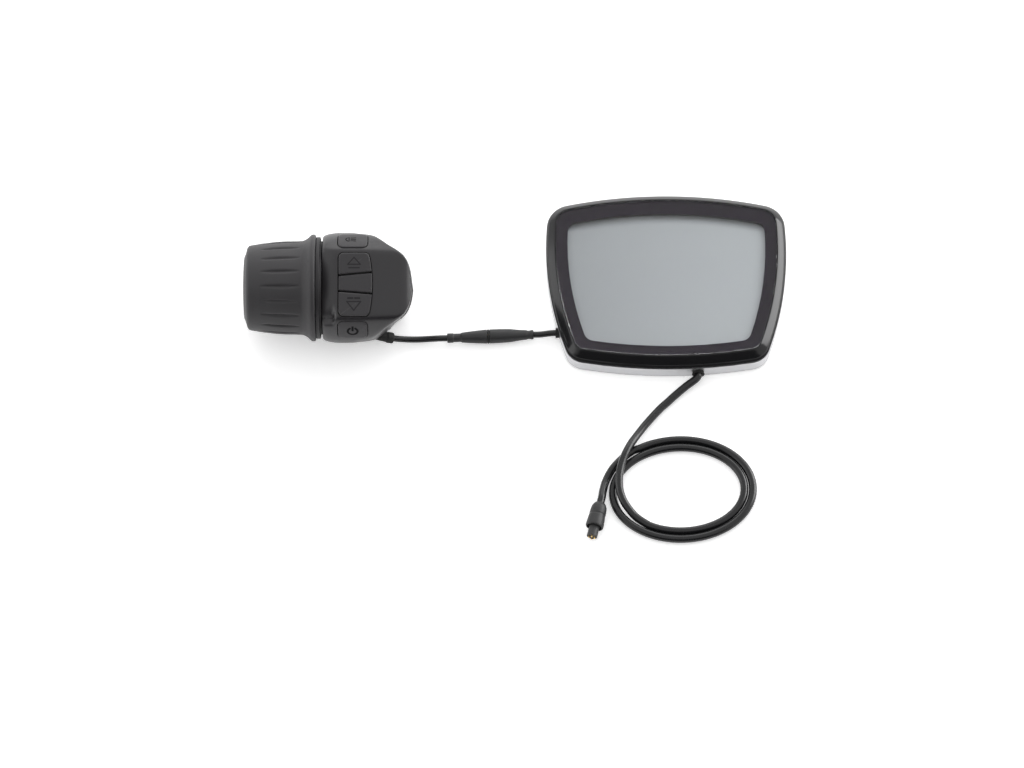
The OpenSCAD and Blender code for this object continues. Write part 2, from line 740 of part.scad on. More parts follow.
module main_cable_coil() {
  color([0.08, 0.08, 0.08]) tube(turn_line, main_d / 2, turn_sides, turn_way(turn_from), turn_way(turn_to));
}

plug_way = [sin(plug_turn), -cos(plug_turn), 0];

module main_cable_tail() {
  points = smooth(concat([turn_end], main_out_points, [plug_at]), 2);
  color([0.08, 0.08, 0.08]) tube(points, main_d / 2, lead_sides, turn_way(turn_to), plug_way);
}

module plug_frame() {
  translate(plug_at) rotate([90, 0, 0]) rotate([0, plug_turn, 0]) children();
}

// Moulded body of the plug, with its shoulder and its open end
module main_plug_body() {
  color([0.07, 0.07, 0.07]) plug_frame() difference() {
    rotate_extrude() polygon([[0, 0], [main_d / 2 + plug_neck / 2, 0], [plug_r * plug_back_share, plug_shoulder],
      [plug_r * plug_waist_share, plug_shoulder * 2], [plug_r, plug_len - plug_shoulder],
      [plug_r, plug_len - plug_shoulder / 4], [plug_r * plug_rim_share, plug_len], [0, plug_len]]);
    translate([0, 0, plug_len - plug_mouth]) cylinder(r = plug_r - plug_neck / 2, h = plug_mouth + cut);
    translate([0, 0, plug_len - 2 * plug_mouth]) cylinder(r = plug_core_r, h = 2 * plug_mouth + cut);
  }
}

module main_plug_core() {
  color([0.12, 0.12, 0.12]) plug_frame() difference() {
    translate([0, 0, plug_len - 2 * plug_mouth]) cylinder(r = plug_core_r, h = 2 * plug_mouth + plug_core_out);
    for (a = [0:90:270]) rotate([0, 0, a]) translate([plug_contact_ring, 0, plug_len - plug_mouth])
      cylinder(r = plug_contact_r, h = plug_mouth + plug_core_out + cut, $fn = 24);
  }
}

module main_plug_contacts() {
  color([0.85, 0.7, 0.35]) plug_frame() for (a = [0:90:270]) rotate([0, 0, a])
    translate([plug_contact_ring, 0, plug_len - plug_mouth])
      cylinder(r = plug_contact_r, h = plug_mouth + plug_core_out + plug_contact_out, $fn = 24);
}

module joint_frame() {
  translate(joint_at) rotate([0, 90, joint_turn]) children();
}

// One half of the connector pair, turned from its outline and bored for its lead's end and its contacts
module joint_half(shares, long, from) {
  translate([0, 0, from]) rotate_extrude()
    polygon(concat([[0, 0]], [for (s = shares) [s[1] * joint_r, s[0] * long]], [[0, long]]));
}

module contact_rods(r) {
  for (a = [0:90:270]) rotate([0, 0, a])
    translate([joint_r / 2, 0, joint_left_len + joint_ring_len / 2 - joint_contact_len / 2])
      cylinder(r = r, h = joint_contact_len, $fn = 24);
}

module connector_plug() {
  color([0.1, 0.1, 0.1]) joint_frame() difference() {
    joint_half(joint_left_shares, joint_left_len, 0);
    contact_rods(joint_contact_r);
  }
}

module connector_ring() {
  color([0.03, 0.03, 0.03]) joint_frame() difference() {
    translate([0, 0, joint_left_len]) cylinder(r = joint_r, h = joint_ring_len);
    contact_rods(joint_contact_r);
  }
}

module connector_socket() {
  color([0.1, 0.1, 0.1]) joint_frame() difference() {
    joint_half(joint_right_shares, joint_right_len, joint_left_len + joint_ring_len);
    contact_rods(joint_contact_r);
  }
}

module connector_contacts() {
  color([0.85, 0.7, 0.35]) joint_frame() contact_rods(joint_contact_r);
}

joint_way = [cos(joint_turn), sin(joint_turn), 0];
joint_end = joint_at + (joint_left_len + joint_ring_len + joint_right_len) * joint_way;

module remote_cable() {
  points = smooth(concat(remote_points, [joint_at]), 2);
  color([0.08, 0.08, 0.08]) tube(points, remote_d / 2, lead_sides, [1, 0, 0], joint_way);
}

module display_pigtail() {
  inner = [-remote_wall_x + gland_inside, remote_exit_y, gland_z];
  outer = [-remote_wall_x - gland_out, remote_exit_y, gland_z];
  points = smooth(concat([joint_end], pigtail_points, [outer, inner]), 2);
  color([0.08, 0.08, 0.08]) tube(points, remote_d / 2, lead_sides, joint_way, [1, 0, 0]);
}

// The remote's own frame: X along the bar from the grip's free end, Z out of the key facet
module remote() {
  translate([remote_x, remote_y, remote_z]) rotate([facet_lean, 0, 0]) children();
}

// A turned solid round the bar, from points as [radius, place along the bar]
module turned(points) {
  rotate([0, 90, 0]) rotate_extrude() polygon(points);
}

module barrel(r, from, to) {
  translate([from, 0, 0]) rotate([0, 90, 0]) cylinder(r = r, h = to - from);
}

// The housing's outer shape, made smaller all round by a wall and behind the facet by another
module housing_shape(wall, face_wall) {
  x0 = house_x;
  x1 = house_end_x;
  long = housing_len;
  deep = housing_r + cut;
  intersection() {
    turned(concat([[0, x0]], [for (s = housing_turned_shares) [s[1] * housing_r - wall, x0 + s[0] * long]], [[0, x1]]));
    translate([0, 0, -deep]) linear_extrude(2 * deep) polygon(concat(
      [for (s = housing_plan_shares) [x0 + s[0] * long, s[1] * housing_r - wall * (s[1] > 0.5 ? 1 : 2 * s[1])]],
      [for (i = [len(housing_plan_shares) - 2:-1:0]) let (s = housing_plan_shares[i])
        [x0 + s[0] * long, -s[1] * housing_r + wall * (s[1] > 0.5 ? 1 : 2 * s[1])]]));
    rotate([90, 0, 0]) translate([0, 0, -deep]) linear_extrude(2 * deep) polygon(concat(
      [for (s = facet_line_shares) [x0 + s[0] * long, s[1] * facet_d - face_wall]],
      [for (s = belly_shares) [x0 + s[0] * long, s[1] * housing_r + wall]]));
  }
}

// A flat shape with four round corners
module round_corners(x0, x1, w, r) {
  translate([x0 + r, -w / 2]) square([x1 - x0 - 2 * r, w]);
  translate([x0, r - w / 2]) square([x1 - x0, w - 2 * r]);
  for (x = [x0 + r, x1 - r], y = [r - w / 2, w / 2 - r]) translate([x, y]) circle(r = r);
}

// The pad that the three keys share, grown all round
module pad_shape(grow) {
  intersection() {
    round_corners(pad_x - grow, pad_end_x + grow, pad_w + 2 * grow, pad_corner_r + grow);
    translate([pad_end_x - pad_bulge_r, 0]) circle(r = pad_bulge_r + grow);
  }
}

// The band between two seams, each given by its height at the pad's two ends
module key_band(low, high) {
  polygon([[pad_x - cut, low[0]], [pad_end_x + cut, low[1]], [pad_end_x + cut, high[1]], [pad_x - cut, high[0]]]);
}

module side_shape(grow) {
  round_corners(side_x - grow, side_x + side_len + grow, side_w + 2 * grow, side_corner_r + grow);
}

module at_angle(a) {
  rotate([-a, 0, 0]) children();
}

// Where the remote's lead leaves the lower shell, in the remote's own frame
module outlet() {
  multmatrix([[1, 0, 0, 0], [0, cos(facet_lean), sin(facet_lean), 0], [0, -sin(facet_lean), cos(facet_lean), 0],
    [0, 0, 0, 1]]) translate([outlet_x, outlet_y - remote_y, outlet_z - remote_z])
    rotate([0, 90 + outlet_dip, 0]) children();
}

// The part of the relief outside the outlet, grown all round
module relief_shape(grow) {
  end = relief_len + relief_collar;
  rotate_extrude() polygon([[0, 0], [relief_neck_r + lead_gap + grow, 0],
    [relief_r * relief_waist_share + grow, relief_len],
    [relief_r + grow, relief_len + relief_neck_r / 4], [relief_r + grow, end - relief_neck_r / 4],
    [relief_r * relief_rim_share + grow, end], [0, end]]);
}

module rib(from, inner, top) {
  intersection() {
    difference() {
      barrel(housing_r, from, from + rib_w);
      barrel(inner, from - cut, from + rib_w + cut);
    }
    housing_shape(housing_wall / 2, facet_wall);
    translate([from - cut, -housing_r, -housing_r]) cube([rib_w + 2 * cut, 2 * housing_r, housing_r + top]);
  }
}

// Both half shells as one: outer shape, hollow, ribs, openings
module housing() {
  difference() {
    union() {
      difference() {
        housing_shape(0, 0);
        difference() {
          housing_shape(housing_wall, facet_wall);
          barrel(housing_r, house_x - cut, house_x + end_wall);
          barrel(housing_r, house_end_x - 3 * housing_wall, house_end_x + cut);
        }
      }
      rib(back_rib_x, sleeve_r, rib_z);
      rib(carrier_x, sleeve_r, -cut);
      rib(house_x + end_wall + 2 * flange_gap + flange_w, spring_r + 3 * spring_wire_r, -cut);
      for (s = [-1, 1]) translate([shell_screw_x, s * shell_screw_y, -shell_head_z - shell_head_h])
        cylinder(r = shell_boss_r, h = shell_head_z + shell_head_h + shell_boss_up);
      intersection() {
        translate([grub_x, 0, -housing_r]) cylinder(r = grub_boss_r + housing_wall, h = housing_wall + cut);
        housing_shape(0, 0);
      }
    }
    barrel(hub_r + turn_gap, house_x - cut, house_x + end_wall + cut);
    barrel(sleeve_r, house_x + end_wall, house_end_x + cut);
    translate([0, 0, facet_d - facet_wall - cut]) linear_extrude(facet_wall + 2 * cut) pad_shape(key_gap);
    for (a = [light_angle, power_angle]) at_angle(a)
      translate([0, 0, side_flange_r]) linear_extrude(housing_r) side_shape(key_gap);
    for (s = [-1, 1]) translate([shell_screw_x, s * shell_screw_y, 0]) {
      translate([0, 0, -housing_r]) cylinder(r = shell_head_r + screw_gap, h = housing_r - shell_head_z);
      translate([0, 0, -shell_head_z - cut]) cylinder(r = shell_screw_r, h = shell_head_z + shell_boss_up);
    }
    translate([grub_x, 0, -housing_r - cut]) cylinder(r = grub_r + screw_gap, h = housing_r);
    translate([house_x + end_wall, -sensor_board_w / 2 - drop_gap, -housing_r + housing_wall])
      cube([end_wall + 2 * flange_w + 2 * sensor_board_t, sensor_board_w + 2 * drop_gap, housing_r - magnet_r]);
  }
}

module upper_shell() {
  color([0.13, 0.13, 0.13]) remote() intersection() {
    housing();
    translate([house_x - cut, -housing_r - cut, 0])
      cube([housing_len + 2 * cut, 2 * (housing_r + cut), housing_r + cut]);
  }
}

module lower_shell() {
  color([0.12, 0.12, 0.12]) remote() difference() {
    intersection() {
      housing();
      translate([house_x - cut, -housing_r - cut, -housing_r - cut])
        cube([housing_len + 2 * cut, 2 * (housing_r + cut), housing_r + cut]);
    }
    outlet() translate([0, 0, -relief_seat]) cylinder(r = relief_neck_r, h = relief_seat + cut);
    outlet() relief_shape(drop_gap);
    outlet() translate([0, 0, relief_len]) cylinder(r = relief_r + drop_gap, h = relief_collar + housing_len / 2);
    outlet() translate([0, 0, -outlet_bore_len])
      cylinder(r = remote_d / 2 + lead_gap, h = outlet_bore_len + cut);
  }
}

module shell_screws() {
  color([0.35, 0.35, 0.37]) remote() for (s = [-1, 1]) translate([shell_screw_x, s * shell_screw_y, 0]) {
    translate([0, 0, -shell_head_z - shell_head_h]) cylinder(r = shell_head_r, h = shell_head_h);
    translate([0, 0, -shell_head_z - shell_head_h]) cylinder(r = shell_screw_r, h = shell_head_z + shell_boss_up);
  }
}

// Sleeve that goes on the handlebar, with the boss of its grub screw
module bar_sleeve() {
  color([0.2, 0.2, 0.21]) remote() difference() {
    union() {
      barrel(sleeve_r, sleeve_x, house_end_x - sleeve_in);
      translate([grub_x, 0, -grub_boss_top]) cylinder(r = grub_boss_r, h = grub_boss_top);
    }
    barrel(bar_r + bar_gap, sleeve_x - cut, house_end_x);
    translate([grub_x, 0, -grub_boss_top - cut]) cylinder(r = grub_r, h = grub_boss_top + cut);
  }
}

module grub_screw() {
  color([0.4, 0.4, 0.42]) remote() translate([grub_x, 0, -bar_r - 2 * bar_gap - grub_len])
    cylinder(r = grub_r, h = grub_len);
}

// Tapered rubber relief in the outlet, with its collar
module strain_relief() {
  color([0.04, 0.04, 0.04]) remote() outlet() difference() {
    union() {
      translate([0, 0, -relief_seat]) cylinder(r = relief_neck_r, h = relief_seat + cut);
      relief_shape(0);
    }
    translate([0, 0, -relief_seat - cut])
      cylinder(r = remote_d / 2 + lead_gap, h = relief_seat + relief_len + relief_collar + 2 * cut);
  }
}

// Saddle over the sleeve that carries the key board and the two side boards
module key_carrier() {
  x1 = board_end_x - carrier_x;
  color([0.25, 0.25, 0.26]) remote() difference() {
    intersection() {
      barrel(carrier_wing_r, carrier_x, board_end_x);
      translate([carrier_x, -housing_r, 0]) cube([x1, 2 * housing_r, key_board_z]);
      at_angle(light_angle) translate([carrier_x, -2 * housing_r, -housing_r])
        cube([x1, 4 * housing_r, housing_r + side_board_r]);
      at_angle(power_angle) translate([carrier_x, -2 * housing_r, -housing_r])
        cube([x1, 4 * housing_r, housing_r + side_board_r]);
    }
    barrel(sleeve_r + bar_gap, carrier_x - cut, board_end_x + cut);
  }
}

module key_board() {
  color([0.05, 0.3, 0.15]) remote() translate([board_x, -key_board_w / 2, key_board_z])
    cube([board_end_x - board_x, key_board_w, key_board_t]);
}

module side_boards() {
  color([0.05, 0.3, 0.15]) remote() for (a = [light_angle, power_angle]) at_angle(a)
    translate([carrier_x, -side_board_w / 2, side_board_r])
      cube([side_len - switch_w, side_board_w, key_board_t]);
}

// Middle of each key, as [along the bar, round the bar]
function mid(a, b) = (a[0] + a[1] + b[0] + b[1]) / 4;
pad_top = [pad_w / 2, pad_w / 2];
key_middles = [mid(upper_seam, pad_top), mid(lower_seam, upper_seam), mid(-pad_top, lower_seam)];

module key_switches() {
  color([0.75, 0.75, 0.78]) remote() {
    for (y = key_middles) translate([(pad_x + pad_end_x - switch_w) / 2, y - switch_w / 2, key_board_z + key_board_t])
      cube([switch_w, switch_w, switch_h]);
    for (a = [light_angle, power_angle]) at_angle(a)
      translate([side_x + side_len / 2 - switch_w / 2, -switch_w / 2, side_board_r + key_board_t])
        cube([switch_w, switch_w, side_flange_r - switch_gap - side_board_r - key_board_t]);
  }
}

// One key of the pad, between two heights, grown round the pad's edge
module key_layer(low, high, from, to, grow, wide) {
  translate([0, 0, from]) linear_extrude(to - from) intersection() {
    pad_shape(grow);
    key_band(low, high);
    translate([pad_x - pad_len, -wide / 2]) square([3 * pad_len, wide]);
  }
}

// One key of the pad: a cap through the facet, a narrower root and a flange behind it
module pad_key(low, high) {
  inner = facet_d - facet_wall;
  remote() {
    key_layer(low, high, inner, facet_d + key_proud, 0, pad_w);
    key_layer(low, high, cap_z, facet_d, 0, flange_key_w);
    key_layer(low, high, flange_key_z, inner - flange_key_gap, key_gap + flange_key_grow, flange_key_w);
  }
}

half_gap = [seam_gap / 2, seam_gap / 2];
pad_far = [pad_w, pad_w];

module up_key() {
  color([0.15, 0.15, 0.155]) pad_key(upper_seam + half_gap, pad_far);
}

module middle_key() {
  color([0.15, 0.15, 0.155]) pad_key(lower_seam + half_gap, upper_seam - half_gap);
}

module down_key() {
  color([0.15, 0.15, 0.155]) pad_key(-pad_far, lower_seam - half_gap);
}

// A side button: a cap that follows the round housing, and a flange behind the wall
module side_button(a) {
  inner_r = side_low_share * housing_r - housing_wall - flange_key_gap;
  remote() at_angle(a) {
    intersection() {
      barrel(housing_r + side_proud, side_x - cut, side_x + side_len + cut);
      translate([0, 0, side_flange_r]) linear_extrude(housing_r) side_shape(0);
    }
    intersection() {
      barrel(inner_r, side_x - 2 * cut, side_x + side_len + 2 * cut);
      translate([0, 0, side_flange_r]) linear_extrude(housing_r) intersection() {
        side_shape(key_gap + flange_key_grow);
        translate([side_x - side_len, key_gap - side_w / 2]) square([3 * side_len, side_w - 2 * key_gap]);
      }
    }
  }
}

module light_button() {
  color([0.16, 0.16, 0.165]) side_button(light_angle);
}

module power_button() {
  color([0.16, 0.16, 0.165]) side_button(power_angle);
}

// Hard tube under the rubber: the ring behind the lip, and inside the housing the flange and the magnet's lobe
module twist_tube() {
  flange_x = house_x + end_wall + flange_gap;
  color([0.1, 0.1, 0.1]) remote() difference() {
    union() {
      turned([[bar_r + grip_bore_gap, grip_end_wall], [tube_r, grip_end_wall], [tube_r, ring_x], [ring_r, ring_x],
        [ring_r, ring_x + ring_w], [gap_neck_r, ring_x + ring_w], [gap_neck_r, house_x - flange_gap],
        [hub_r, house_x - flange_gap], [hub_r, flange_x], [flange_r, flange_x],
        [flange_r, flange_x + flange_w], [tube_neck_r, flange_x + flange_w], [tube_neck_r, tube_end_x],
        [bar_r + grip_bore_gap, tube_end_x]]);
      intersection() {
        barrel(lobe_r, flange_x, flange_x + flange_w);
        translate([flange_x, -lobe_w / 2, -lobe_r]) cube([flange_w, lobe_w, lobe_r - tube_neck_r]);
      }
    }
    translate([flange_x + flange_w - magnet_deep, -magnet_w / 2, -magnet_r - magnet_h])
      cube([magnet_deep + cut, magnet_w, magnet_h]);
  }
}

// Rubber sleeve with its domed end, flared lip and shallow grooves
module grip_sleeve() {
  disc_r = 55;
  groove_x = grip_len / 2;
  color([0.16, 0.16, 0.165]) remote() difference() {
    turned(concat([[bar_r + grip_mouth_gap, 0]], [for (s = grip_shares) [s[1] * grip_r, s[0] * grip_len]],
      [[lip_r - lip_step / 2, grip_len - 2 * lip_step], [lip_r, grip_len - 1.5 * lip_step],
        [lip_r, grip_len - lip_step / 2], [lip_r - lip_step, grip_len], [tube_r, grip_len],
        [tube_r, grip_end_wall], [bar_r + grip_mouth_gap, grip_end_wall]]));
    for (k = [0:groove_count - 1]) rotate([360 * k / groove_count, 0, 0])
      translate([groove_x - disc_r * sin(groove_tilt), groove_w / 2, groove_share * grip_r - groove_depth + disc_r])
        rotate([90, 0, 0]) cylinder(r = disc_r, h = groove_w, $fn = 240);
  }
}
groove_tilt = 3;

// Spring that turns the grip back, wound round the end of the tube
spring_x = house_x + end_wall + 2 * flange_gap + flange_w + spring_wire_r;
spring_rings = 12;
spring_line = [for (i = [0:spring_turns * spring_rings]) let (a = 360 * i / spring_rings)
  [spring_x + spring_pitch * i / spring_rings, spring_r * cos(a), spring_r * sin(a)]];
echo("least gap of the return spring to itself", spring_pitch - 2 * spring_wire_r);

function wire_way(i) =
  let (a = 360 * i / spring_rings, lead = spring_pitch / (2 * PI * spring_r), l = sqrt(1 + lead * lead))
  [lead, -sin(a), cos(a)] / l;

module return_spring() {
  sides = 6;
  n = len(spring_line);
  rings = [for (i = [0:n - 1], k = [0:sides - 1])
    let (t = wire_way(i), s = cross([1, 0, 0], t) / norm(cross([1, 0, 0], t)), u = cross(t, s))
    spring_line[i] + spring_wire_r * (s * cos(360 * k / sides) + u * sin(360 * k / sides))];
  walls = [for (i = [0:n - 2], k = [0:sides - 1], half = [0, 1])
    half == 0 ? [i * sides + k, (i + 1) * sides + k, (i + 1) * sides + (k + 1) % sides]
      : [i * sides + k, (i + 1) * sides + (k + 1) % sides, i * sides + (k + 1) % sides]];
  color([0.6, 0.6, 0.62]) remote() polyhedron(rings,
    concat([[for (k = [0:sides - 1]) k]], walls, [[for (k = [sides - 1:-1:0]) (n - 1) * sides + k]]), convexity = 10);
}

module sensor_magnet() {
  magnet_x = house_x + end_wall + flange_gap + flange_w - magnet_deep;
  color([0.5, 0.5, 0.52]) remote() translate([magnet_x, -magnet_w / 2, -magnet_r - magnet_h])
    cube([magnet_deep, magnet_w, magnet_h]);
}

sensor_x = house_x + end_wall + 2 * flange_gap + flange_w;
module hall_sensor() {
  color([0.06, 0.06, 0.06]) remote() translate([sensor_x, -sensor_w / 2, -magnet_r - magnet_h])
    cube([sensor_t, sensor_w, magnet_h]);
}

module sensor_board() {
  color([0.05, 0.3, 0.15]) remote() translate([sensor_x + sensor_t, -sensor_board_w / 2, -magnet_r - sensor_board_h])
    cube([sensor_board_t, sensor_board_w, sensor_board_h]);
}

back_shell();
front_frame();
cover_window();
border_sheet();
window_gasket();
lcd_panel();
panel_holder();
backlight_plate();
contact_strips();
main_board();
board_chips();
cable_headers();
housing_seal();
housing_screws();
bracket_inserts();
main_cable_gland();
remote_cable_gland();
main_cable_lead();
main_cable_coil();
main_cable_tail();
main_plug_body();
main_plug_core();
main_plug_contacts();
connector_plug();
connector_ring();
connector_socket();
connector_contacts();
remote_cable();
display_pigtail();
upper_shell();
lower_shell();
shell_screws();
bar_sleeve();
grub_screw();
strain_relief();
key_carrier();
key_board();
side_boards();
key_switches();
up_key();
middle_key();
down_key();
light_button();
power_button();
twist_tube();
grip_sleeve();
return_spring();
sensor_magnet();
hall_sensor();
sensor_board();
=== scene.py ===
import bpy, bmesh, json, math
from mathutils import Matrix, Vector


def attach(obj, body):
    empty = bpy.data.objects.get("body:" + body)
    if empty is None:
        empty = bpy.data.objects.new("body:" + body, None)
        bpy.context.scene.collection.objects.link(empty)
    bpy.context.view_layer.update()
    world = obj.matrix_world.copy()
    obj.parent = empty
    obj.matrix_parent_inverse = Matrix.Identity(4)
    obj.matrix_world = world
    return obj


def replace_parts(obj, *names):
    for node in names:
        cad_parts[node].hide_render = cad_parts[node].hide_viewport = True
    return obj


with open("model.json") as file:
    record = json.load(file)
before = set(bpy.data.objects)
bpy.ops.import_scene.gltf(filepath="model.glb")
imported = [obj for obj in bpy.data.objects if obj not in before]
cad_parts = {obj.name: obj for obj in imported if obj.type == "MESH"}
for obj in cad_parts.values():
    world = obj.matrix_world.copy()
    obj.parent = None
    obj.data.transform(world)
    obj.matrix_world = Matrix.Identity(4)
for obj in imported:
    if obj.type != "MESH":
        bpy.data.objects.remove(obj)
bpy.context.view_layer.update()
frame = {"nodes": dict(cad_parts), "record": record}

# %% [markdown]
# # An e-bike display with its handlebar remote
# The display lies on its back on a pale table. Its remote lies to the left on its round housing, and one lead joins
# the two. A second lead leaves the display's lower edge, lies in two flat turns and ends in a round plug. This lesson
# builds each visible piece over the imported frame, in the frame's own coordinates, and gives every surface its finish.

MM = 0.001
ROOT = "display_and_leads"

# %% [markdown]
# ## Camera
# The display's outline shows no taper from near to far, so the photo was taken with a long lens, 62 degrees above
# the table. A long lens at about 2.5 m gives the same flat view.

# %% Camera
ELEVATION = math.radians(62)
DISTANCE = 2.489
AIM = Vector((-0.06805, -0.04645, 0))
camera_data = bpy.data.cameras.new("camera")
camera_data.lens = 200
camera_data.sensor_width = 36
camera_data.clip_end = 20
camera = bpy.data.objects.new("camera", camera_data)
bpy.context.scene.collection.objects.link(camera)
camera.location = AIM + DISTANCE * Vector((0, -math.cos(ELEVATION), math.sin(ELEVATION)))
camera.rotation_euler = (math.pi / 2 - ELEVATION, 0, 0)
bpy.context.scene.camera = camera
bpy.context.scene.view_settings.view_transform = "Standard"
print("camera at", [round(v, 4) for v in camera.location])

# %% [markdown]
# ## Tools for the meshes
# Most pieces here are rings of points joined into a skin. A turned piece has round rings, a moulded one has rings
# that follow its outline. A few openings are cut with booleans, which are applied at once, so that each piece ends as
# a plain mesh whose sharp edges are marked.

# %% Mesh tools
def shade(obj, angle=35):
    mesh = obj.data
    mesh.polygons.foreach_set("use_smooth", [True] * len(mesh.polygons))
    mesh.set_sharp_from_angle(angle=math.radians(angle))


def piece(name, points, faces, material, body=ROOT, place=None, angle=35):
    """A mesh piece from points in millimetres, which rides on a body."""
    mesh = bpy.data.meshes.new(name)
    moved = [(place @ Vector(p) if place else Vector(p)) * MM for p in points]
    mesh.from_pydata(moved, [], faces)
    tidy = bmesh.new()
    tidy.from_mesh(mesh)
    bmesh.ops.remove_doubles(tidy, verts=tidy.verts, dist=1e-7)
    bmesh.ops.recalc_face_normals(tidy, faces=tidy.faces)
    tidy.to_mesh(mesh)
    tidy.free()
    obj = bpy.data.objects.new(name, mesh)
    bpy.context.scene.collection.objects.link(obj)
    if material:
        mesh.materials.append(material)
    shade(obj, angle)
    if body:
        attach(obj, body)
    return obj


def skin(rings, loop=False):
    """Points and faces of a skin over rings of equal length."""
    n = len(rings[0])
    points = [p for ring in rings for p in ring]
    faces = []
    for i in range(len(rings) if loop else len(rings) - 1):
        j = (i + 1) % len(rings)
        faces += [(i * n + k, i * n + (k + 1) % n, j * n + (k + 1) % n, j * n + k) for k in range(n)]
    if not loop:
        faces.append(tuple(range(n - 1, -1, -1)))
        faces.append(tuple((len(rings) - 1) * n + k for k in range(n)))
    return points, faces


def rounded(line, radius, steps=4, closed=False):
    """A line whose corners are eased over a length on each side."""
    points = [Vector(p) for p in line]
    n = len(points)
    made = []
    for i, p in enumerate(points):
        if not closed and i in (0, n - 1):
            made.append(p)
            continue
        a, b = points[i - 1], points[(i + 1) % n]
        size = radius[i] if isinstance(radius, (list, tuple)) else radius
        if size == 0 or (a - p).length < 1e-9 or (b - p).length < 1e-9:
            made.append(p)
            continue
        start = p + (a - p) * min(size / (a - p).length, 0.49)
        end = p + (b - p) * min(size / (b - p).length, 0.49)
        for k in range(steps + 1):
            t = k / steps
            made.append(start * (1 - t) ** 2 + p * 2 * t * (1 - t) + end * t * t)
    return made


def turned_rings(profile, sides=96):
    """Rings round the X axis from a profile of (place along the axis, radius)."""
    return [[(x, r * math.sin(2 * math.pi * k / sides), r * math.cos(2 * math.pi * k / sides)) for k in range(sides)]
            for x, r in profile]


def turned(name, profile, material, body=ROOT, place=None, sides=96, loop=False):
    points, faces = skin(turned_rings(profile, sides), loop=loop)
    return piece(name, points, faces, material, body, place)


def settle(obj, angle=35):
    """Applies a piece's modifiers to its mesh."""
    bpy.context.view_layer.update()
    made = bpy.data.meshes.new_from_object(obj.evaluated_get(bpy.context.evaluated_depsgraph_get()))
    old = obj.data
    obj.modifiers.clear()
    obj.data = made
    bpy.data.meshes.remove(old)
    shade(obj, angle)
    return obj


def carve(obj, cutters, how="DIFFERENCE", angle=35):
    """Cuts one piece with others, and removes them."""
    for cutter in cutters:
        modifier = obj.modifiers.new("cut", "BOOLEAN")
        modifier.operation = how
        modifier.solver = "EXACT"
        modifier.object = cutter
    settle(obj, angle)
    for cutter in cutters:
        bpy.data.objects.remove(cutter)
    return obj


def eased(points, x):
    """Value at x of a smooth line through (x, value) points, which never overshoots them."""
    n = len(points)
    if x <= points[0][0]:
        return points[0][1]
    if x >= points[-1][0]:
        return points[-1][1]
    gaps = [points[i + 1][0] - points[i][0] for i in range(n - 1)]
    rise = [(points[i + 1][1] - points[i][1]) / gaps[i] for i in range(n - 1)]
    slope = [rise[0]]
    for before, after in zip(rise, rise[1:]):
        slope.append(0 if before * after <= 0 else 2 * before * after / (before + after))
    slope.append(rise[-1])
    i = max(k for k in range(n - 1) if points[k][0] <= x)
    t = (x - points[i][0]) / gaps[i]
    return ((2 * t ** 3 - 3 * t * t + 1) * points[i][1] + (t ** 3 - 2 * t * t + t) * gaps[i] * slope[i]
            + (3 * t * t - 2 * t ** 3) * points[i + 1][1] + (t ** 3 - t * t) * gaps[i] * slope[i + 1])


# %% [markdown]
# ## Finishes
# Moulded plastic and rubber share two effects: a fine grain from the spark-eroded mould, and a thin uneven film of
# handling and dust. Each is one node group that puts out a height or a mask, so every material sets its own strength.

# %% Shared effects
def new_group(name, inputs, outputs):
    group = bpy.data.node_groups.new(name, "ShaderNodeTree")
    for label, value in inputs:
        made = group.interface.new_socket(label, in_out="INPUT", socket_type="NodeSocketFloat")
        made.default_value = value
    for label in outputs:
        group.interface.new_socket(label, in_out="OUTPUT", socket_type="NodeSocketFloat")
    return group, group.nodes.new("NodeGroupInput"), group.nodes.new("NodeGroupOutput")


def link(tree, a, b):
    tree.links.new(a, b)


def maths(tree, how, a, b=None, clamp=False):
    node = tree.nodes.new("ShaderNodeMath")
    node.operation = how
    node.use_clamp = clamp
    for socket, value in ((node.inputs[0], a), (node.inputs[1], b)):
        if value is None:
            continue
        if isinstance(value, (int, float)):
            socket.default_value = value
        else:
            link(tree, value, socket)
    return node.outputs[0]


def noise(tree, vector, scale, detail=3, roughness=0.55):
    node = tree.nodes.new("ShaderNodeTexNoise")
    node.inputs["Detail"].default_value = detail
    node.inputs["Roughness"].default_value = roughness
    if isinstance(scale, (int, float)):
        node.inputs["Scale"].default_value = scale
    else:
        link(tree, scale, node.inputs["Scale"])
    link(tree, vector, node.inputs["Vector"])
    return node.outputs["Fac"]


grain, grain_in, grain_out = new_group("moulded_grain", [("Scale", 2200)], ["Height", "Fleck"])
place_node = grain.nodes.new("ShaderNodeTexCoord")
fine = noise(grain, place_node.outputs["Object"], grain_in.outputs["Scale"], 2)
coarse = noise(grain, place_node.outputs["Object"], maths(grain, "MULTIPLY", grain_in.outputs["Scale"], 0.23), 2)
link(grain, maths(grain, "ADD", maths(grain, "MULTIPLY", fine, 0.7), maths(grain, "MULTIPLY", coarse, 0.3)),
     grain_out.inputs["Height"])
link(grain, fine, grain_out.inputs["Fleck"])

